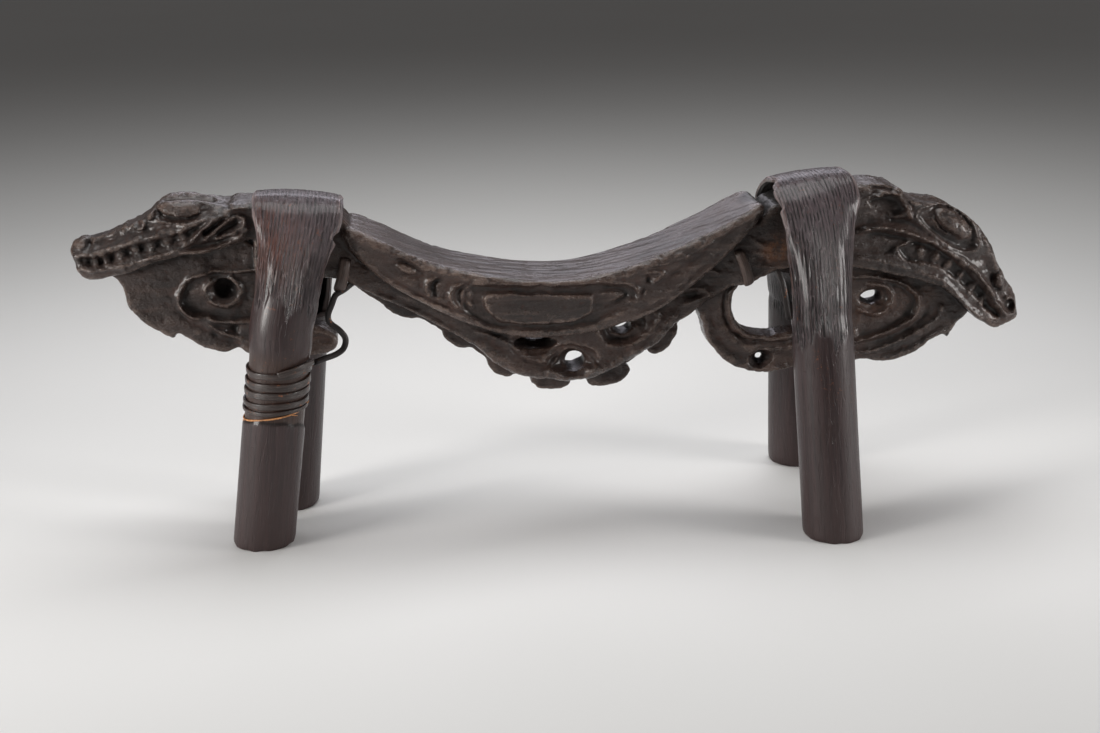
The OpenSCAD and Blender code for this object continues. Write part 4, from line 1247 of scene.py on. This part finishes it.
def bamboo_material():
    s = Shader("aged_bamboo")
    along, around = s.attribute("along"), s.attribute("around")
    shaved, thick, fibre = s.attribute("shaved"), s.attribute("thick"), s.attribute("fibre")
    level, edge = s.attribute("level"), s.attribute("edge")

    def streak(per_mm, along_mm, shift, detail=4, rough=0.6):
        where = s.vector(s.times(around, per_mm), s.times(along, along_mm), shift)
        return s.noise(1.0, where, detail=detail, rough=rough)

    coarse = streak(0.42, 0.020, 0.0, 5)
    fine = streak(1.5, 0.05, 3.0)
    hair = streak(2.6, 0.06, 6.0, 3)
    vessel = streak(0.72, 0.11, 9.0, 0, 0.4)
    blotch = streak(0.10, 0.045, 7.0, 5)
    speck = s.noise(620, s.place(), detail=3, rough=0.6)
    skin = s.mix(s.remap(coarse, 0.34, 0.66), (0.0165, 0.0074, 0.0078), (0.0325, 0.0158, 0.0158))
    skin = s.mix(s.times(s.remap(fine, 0.50, 0.72), 0.32), skin, (0.054, 0.036, 0.034))
    skin = s.mix(s.times(s.remap(blotch, 0.54, 0.70), 0.5), skin, (0.024, 0.0088, 0.0060))
    skin = s.mix(s.times(s.remap(level, 55, 5), 0.45), skin, (0.040, 0.0215, 0.0195))
    scraped = s.attribute("scraped")
    skin = s.mix(s.times(scraped, s.remap(fine, 0.40, 0.62, 0.5, 0.9)), skin, (0.036, 0.0155, 0.0085))
    # painted shade: a dark line along the lower step of the scraped waist
    ledge = s.times(s.times(scraped, s.minus(1.0, scraped)), 4.0)
    ledge = s.times(ledge, s.remap(level, 82, 76))
    skin = s.mix(s.times(ledge, 0.85), skin, (0.0055, 0.0030, 0.0026))
    bare = s.mix(s.remap(hair, 0.36, 0.66), (0.0170, 0.0100, 0.0118), (0.054, 0.0385, 0.0425))
    bare = s.mix(s.times(s.remap(fine, 0.50, 0.66), 0.6), bare, (0.055, 0.0225, 0.0165))
    open_vessel = s.remap(vessel, 0.60, 0.65)
    bare = s.mix(s.times(open_vessel, 0.9), bare, (0.0035, 0.0020, 0.0020))
    lip = s.times(s.remap(vessel, 0.53, 0.59), s.minus(1.0, open_vessel))
    bare = s.mix(s.times(lip, 0.5), bare, (0.17, 0.135, 0.135))
    bare = s.mix(s.times(s.remap(fibre, 0.02, -0.3), 0.85), bare, (0.0040, 0.0022, 0.0024))
    # the bend is painted a purplish grey, a painted sheen; the strap below it is darker
    bare = s.mix(s.times(s.remap(level, 136, 160), 0.42), bare, (0.115, 0.088, 0.098))
    # rows of open vessels
    wander = s.times(streak(0.25, 0.03, 12.0, 2), 1.8)
    rows = s.math("SINE", s.plus(s.times(around, 3.6), wander))
    dashes = s.times(s.remap(streak(0.6, 0.12, 15.0, 1), 0.43, 0.53), s.attribute("grooved"))
    groove = s.times(s.remap(rows, 0.1, 0.8), dashes)
    ridge = s.times(s.remap(rows, -0.4, -0.95), dashes)
    # painted highlight: the ridges between the rows are painted paler
    bare = s.mix(s.times(ridge, 0.34), bare, (0.125, 0.098, 0.104))
    bare = s.mix(s.times(groove, 0.88), bare, (0.0035, 0.0018, 0.0020))
    # red brown streaks at the left strap's outer shoulder
    reddish = s.times(s.around((-0.146, -0.028, 0.152), 0.032, 0.008), s.remap(hair, 0.44, 0.60))
    bare = s.mix(s.times(reddish, 0.7), bare, (0.135, 0.042, 0.022))
    # the bend's edges are painted pale, a painted rim highlight
    rubbed = s.times(s.remap(edge, 0.68, 0.97), s.remap(level, 132, 150))
    rubbed = s.times(rubbed, s.remap(fine, 0.38, 0.55))
    bare = s.mix(s.times(rubbed, 0.7), bare, (0.30, 0.255, 0.26))
    colour = s.mix(shaved, skin, bare)
    # warm spots where the finish is rubbed through, on the torn edges and by the lashing
    warm = s.times(s.remap(edge, 0.25, 0.95), s.remap(fine, 0.46, 0.60))
    spot = s.times(s.remap(speck, 0.58, 0.66), s.remap(blotch, 0.53, 0.62))
    spot = s.times(spot, s.remap(level, 62, 84))
    spot = s.math("MAXIMUM", spot, s.times(warm, 0.45))
    colour = s.mix(s.times(spot, 0.55), colour, (0.19, 0.058, 0.020))
    # cut edges show paler end fibre; the inside is painted dark, painted shade
    rim = s.times(s.times(thick, s.minus(1.0, thick)), 3.2)
    colour = s.mix(s.times(rim, 0.8), colour, (0.15, 0.12, 0.11))
    colour = s.mix(s.times(s.remap(thick, 0.85, 1.0), 0.9), colour, (0.012, 0.0075, 0.0055))
    rough = s.plus(s.remap(coarse, 0.3, 0.7, 0.42, 0.54), s.times(shaved, -0.13))
    rough = s.plus(rough, s.remap(hair, 0.35, 0.65, 0.10, -0.05))
    rough = s.plus(rough, s.times(ledge, 0.35))
    relief = s.plus(s.times(fine, 0.6), s.times(hair, 0.8))
    relief = s.minus(relief, s.times(open_vessel, 0.8))
    relief = s.minus(relief, groove)
    height = s.plus(s.times(relief, s.plus(0.15, s.times(shaved, 1.1))),
                    s.times(speck, 0.08))
    s.skin.inputs["Specular IOR Level"].default_value = 0.38
    s.skin.inputs["Coat Weight"].default_value = 0.28
    s.skin.inputs["Coat Roughness"].default_value = 0.2
    return s.finish(colour, rough, s.bump(height, 0.9, 0.0010))


def cane_material():
    s = Shader("split_cane")
    along, around, rubbed = s.attribute("along"), s.attribute("around"), s.attribute("rubbed")
    streak = s.noise(1.0, s.vector(s.times(around, 2.6), s.times(along, 0.07), 1.0),
                     detail=4, rough=0.6)
    patch = s.noise(1.0, s.vector(s.times(around, 0.25), s.times(along, 0.16), 5.0),
                    detail=3, rough=0.6)
    speck = s.noise(620, s.place(), detail=3, rough=0.6)
    colour = s.mix(s.remap(streak, 0.35, 0.7), (0.0060, 0.0040, 0.0040), (0.026, 0.0175, 0.0160))
    worn = s.times(s.remap(patch, 0.58, 0.68), s.remap(speck, 0.42, 0.60))
    colour = s.mix(s.times(worn, 0.85), colour, (0.33, 0.105, 0.030))
    rim = s.remap(s.math("ABSOLUTE", around), 1.2, 2.2)
    colour = s.mix(s.times(rim, 0.3), colour, (0.048, 0.020, 0.012))
    pale = s.mix(s.remap(streak, 0.3, 0.7), (0.034, 0.020, 0.016), (0.125, 0.088, 0.074))
    colour = s.mix(s.times(rubbed, 0.9), colour, pale)
    rough = s.remap(streak, 0.3, 0.7, 0.32, 0.48)
    height = s.plus(streak, s.times(speck, 0.25))
    s.skin.inputs["Specular IOR Level"].default_value = 0.45
    s.skin.inputs["Coat Weight"].default_value = 0.15
    s.skin.inputs["Coat Roughness"].default_value = 0.2
    return s.finish(colour, rough, s.bump(height, 0.6, 0.0005))


def fibre_material():
    s = Shader("orange_fibre")
    along, around = s.attribute("along"), s.attribute("around")
    strand = s.noise(1.0, s.vector(s.times(around, 5.0), s.times(along, 0.9), 2.0),
                     detail=3, rough=0.6)
    patch = s.noise(1.0, s.vector(0.0, s.times(along, 0.16), 4.0), detail=2)
    colour = s.mix(s.remap(strand, 0.3, 0.7), (0.33, 0.115, 0.030), (0.68, 0.34, 0.14))
    colour = s.mix(s.times(s.remap(patch, 0.5, 0.72), 0.7), colour, (0.12, 0.048, 0.022))
    return s.finish(colour, s.remap(strand, 0.2, 0.8, 0.45, 0.7), s.bump(strand, 0.5, 0.0002))


# ---- floor, light and camera -----------------------------------------------------------------


def area_light(name, at, aim, size, power, colour=(1, 1, 1), spread=180):
    data = bpy.data.lights.new(name, "AREA")
    data.shape = "RECTANGLE"
    data.size, data.size_y = size
    data.energy = power
    data.color = colour
    data.spread = math.radians(spread)
    lamp = bpy.data.objects.new(name, data)
    bpy.context.scene.collection.objects.link(lamp)
    lamp.location = at
    lamp.rotation_euler = (Vector(aim) - Vector(at)).to_track_quat("-Z", "Y").to_euler()


def stage_and_light():
    half = 14.0
    corners = np.array([[-half, -half, 0], [half, -half, 0], [half, half, 0], [-half, half, 0]]) / MM
    floor = new_mesh("floor", corners, np.array([[0, 1, 2, 3]]), smooth=False)
    s = Shader("pale_floor")
    cloud = s.noise(3, s.place(), detail=2)
    colour = s.mix(cloud, (0.74, 0.74, 0.73), (0.78, 0.78, 0.775))
    floor.data.materials.append(s.finish(colour, 0.9, s.bump(s.noise(900, s.place()), 0.02, 0.0002)))
    world = bpy.data.worlds.new("studio")
    world.use_nodes = True
    world.node_tree.nodes["Background"].inputs[0].default_value = (0.52, 0.50, 0.49, 1)
    world.node_tree.nodes["Background"].inputs[1].default_value = 0.17
    bpy.context.scene.world = world
    area_light("overhead", (-0.05, 0.22, 0.98), (0, 0.08, 0.05), (1.05, 0.55), 4.9, spread=138)
    area_light("left_box", (-0.97, -0.39, 0.26), (0, 0, 0.14), (0.28, 0.40), 1.6, (1, 0.97, 0.94), 75)
    area_light("right_box", (0.97, -0.35, 0.27), (0, 0, 0.14), (0.28, 0.40), 1.2, (1, 0.97, 0.95), 75)
    area_light("back_box", (0.05, 0.85, 0.52), (0, 0.02, 0.14), (0.9, 0.22), 0.32, (0.93, 0.90, 1), 75)


TURN_DEGREES, DIP_DEGREES = 7, 19


def camera():
    """Three-quarter height view from the front, turned a little towards the level head."""
    data = bpy.data.cameras.new("camera")
    data.lens = 50
    data.sensor_width = 36
    data.clip_start = 0.01
    data.clip_end = 60
    eye = bpy.data.objects.new("camera", data)
    bpy.context.scene.collection.objects.link(eye)
    turn, dip, away = math.radians(TURN_DEGREES), math.radians(DIP_DEGREES), 0.783
    look = np.array([math.sin(turn) * math.cos(dip), math.cos(turn) * math.cos(dip), -math.sin(dip)])
    eye.location = np.array([-0.006, 0.0093, 0.0737]) - look * away
    eye.rotation_euler = (math.pi / 2 - dip, 0, -turn)
    bpy.context.scene.camera = eye


bpy.context.scene.view_settings.view_transform = "Standard"
camera()
stage_and_light()

wood, bamboo, cane, fibre = wood_material(), bamboo_material(), cane_material(), fibre_material()
for make, node, slot, material in (
        (carved_bar, "carved_bar", "carved_wood", wood),
        (left_yoke, "left_yoke", "bamboo", bamboo),
        (right_yoke, "right_yoke", "bamboo", bamboo),
        (left_brace, "left_brace", "cane", cane),
        (right_brace, "right_brace", "cane", cane),
        (left_leg_lashing, "left_leg_lashing", "cane", cane),
        (left_lashing_fibre, "left_lashing_fibre", "fibre", fibre)):
    piece = make()
    piece.data.materials.append(material)
    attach(piece, "root")
    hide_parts(node)
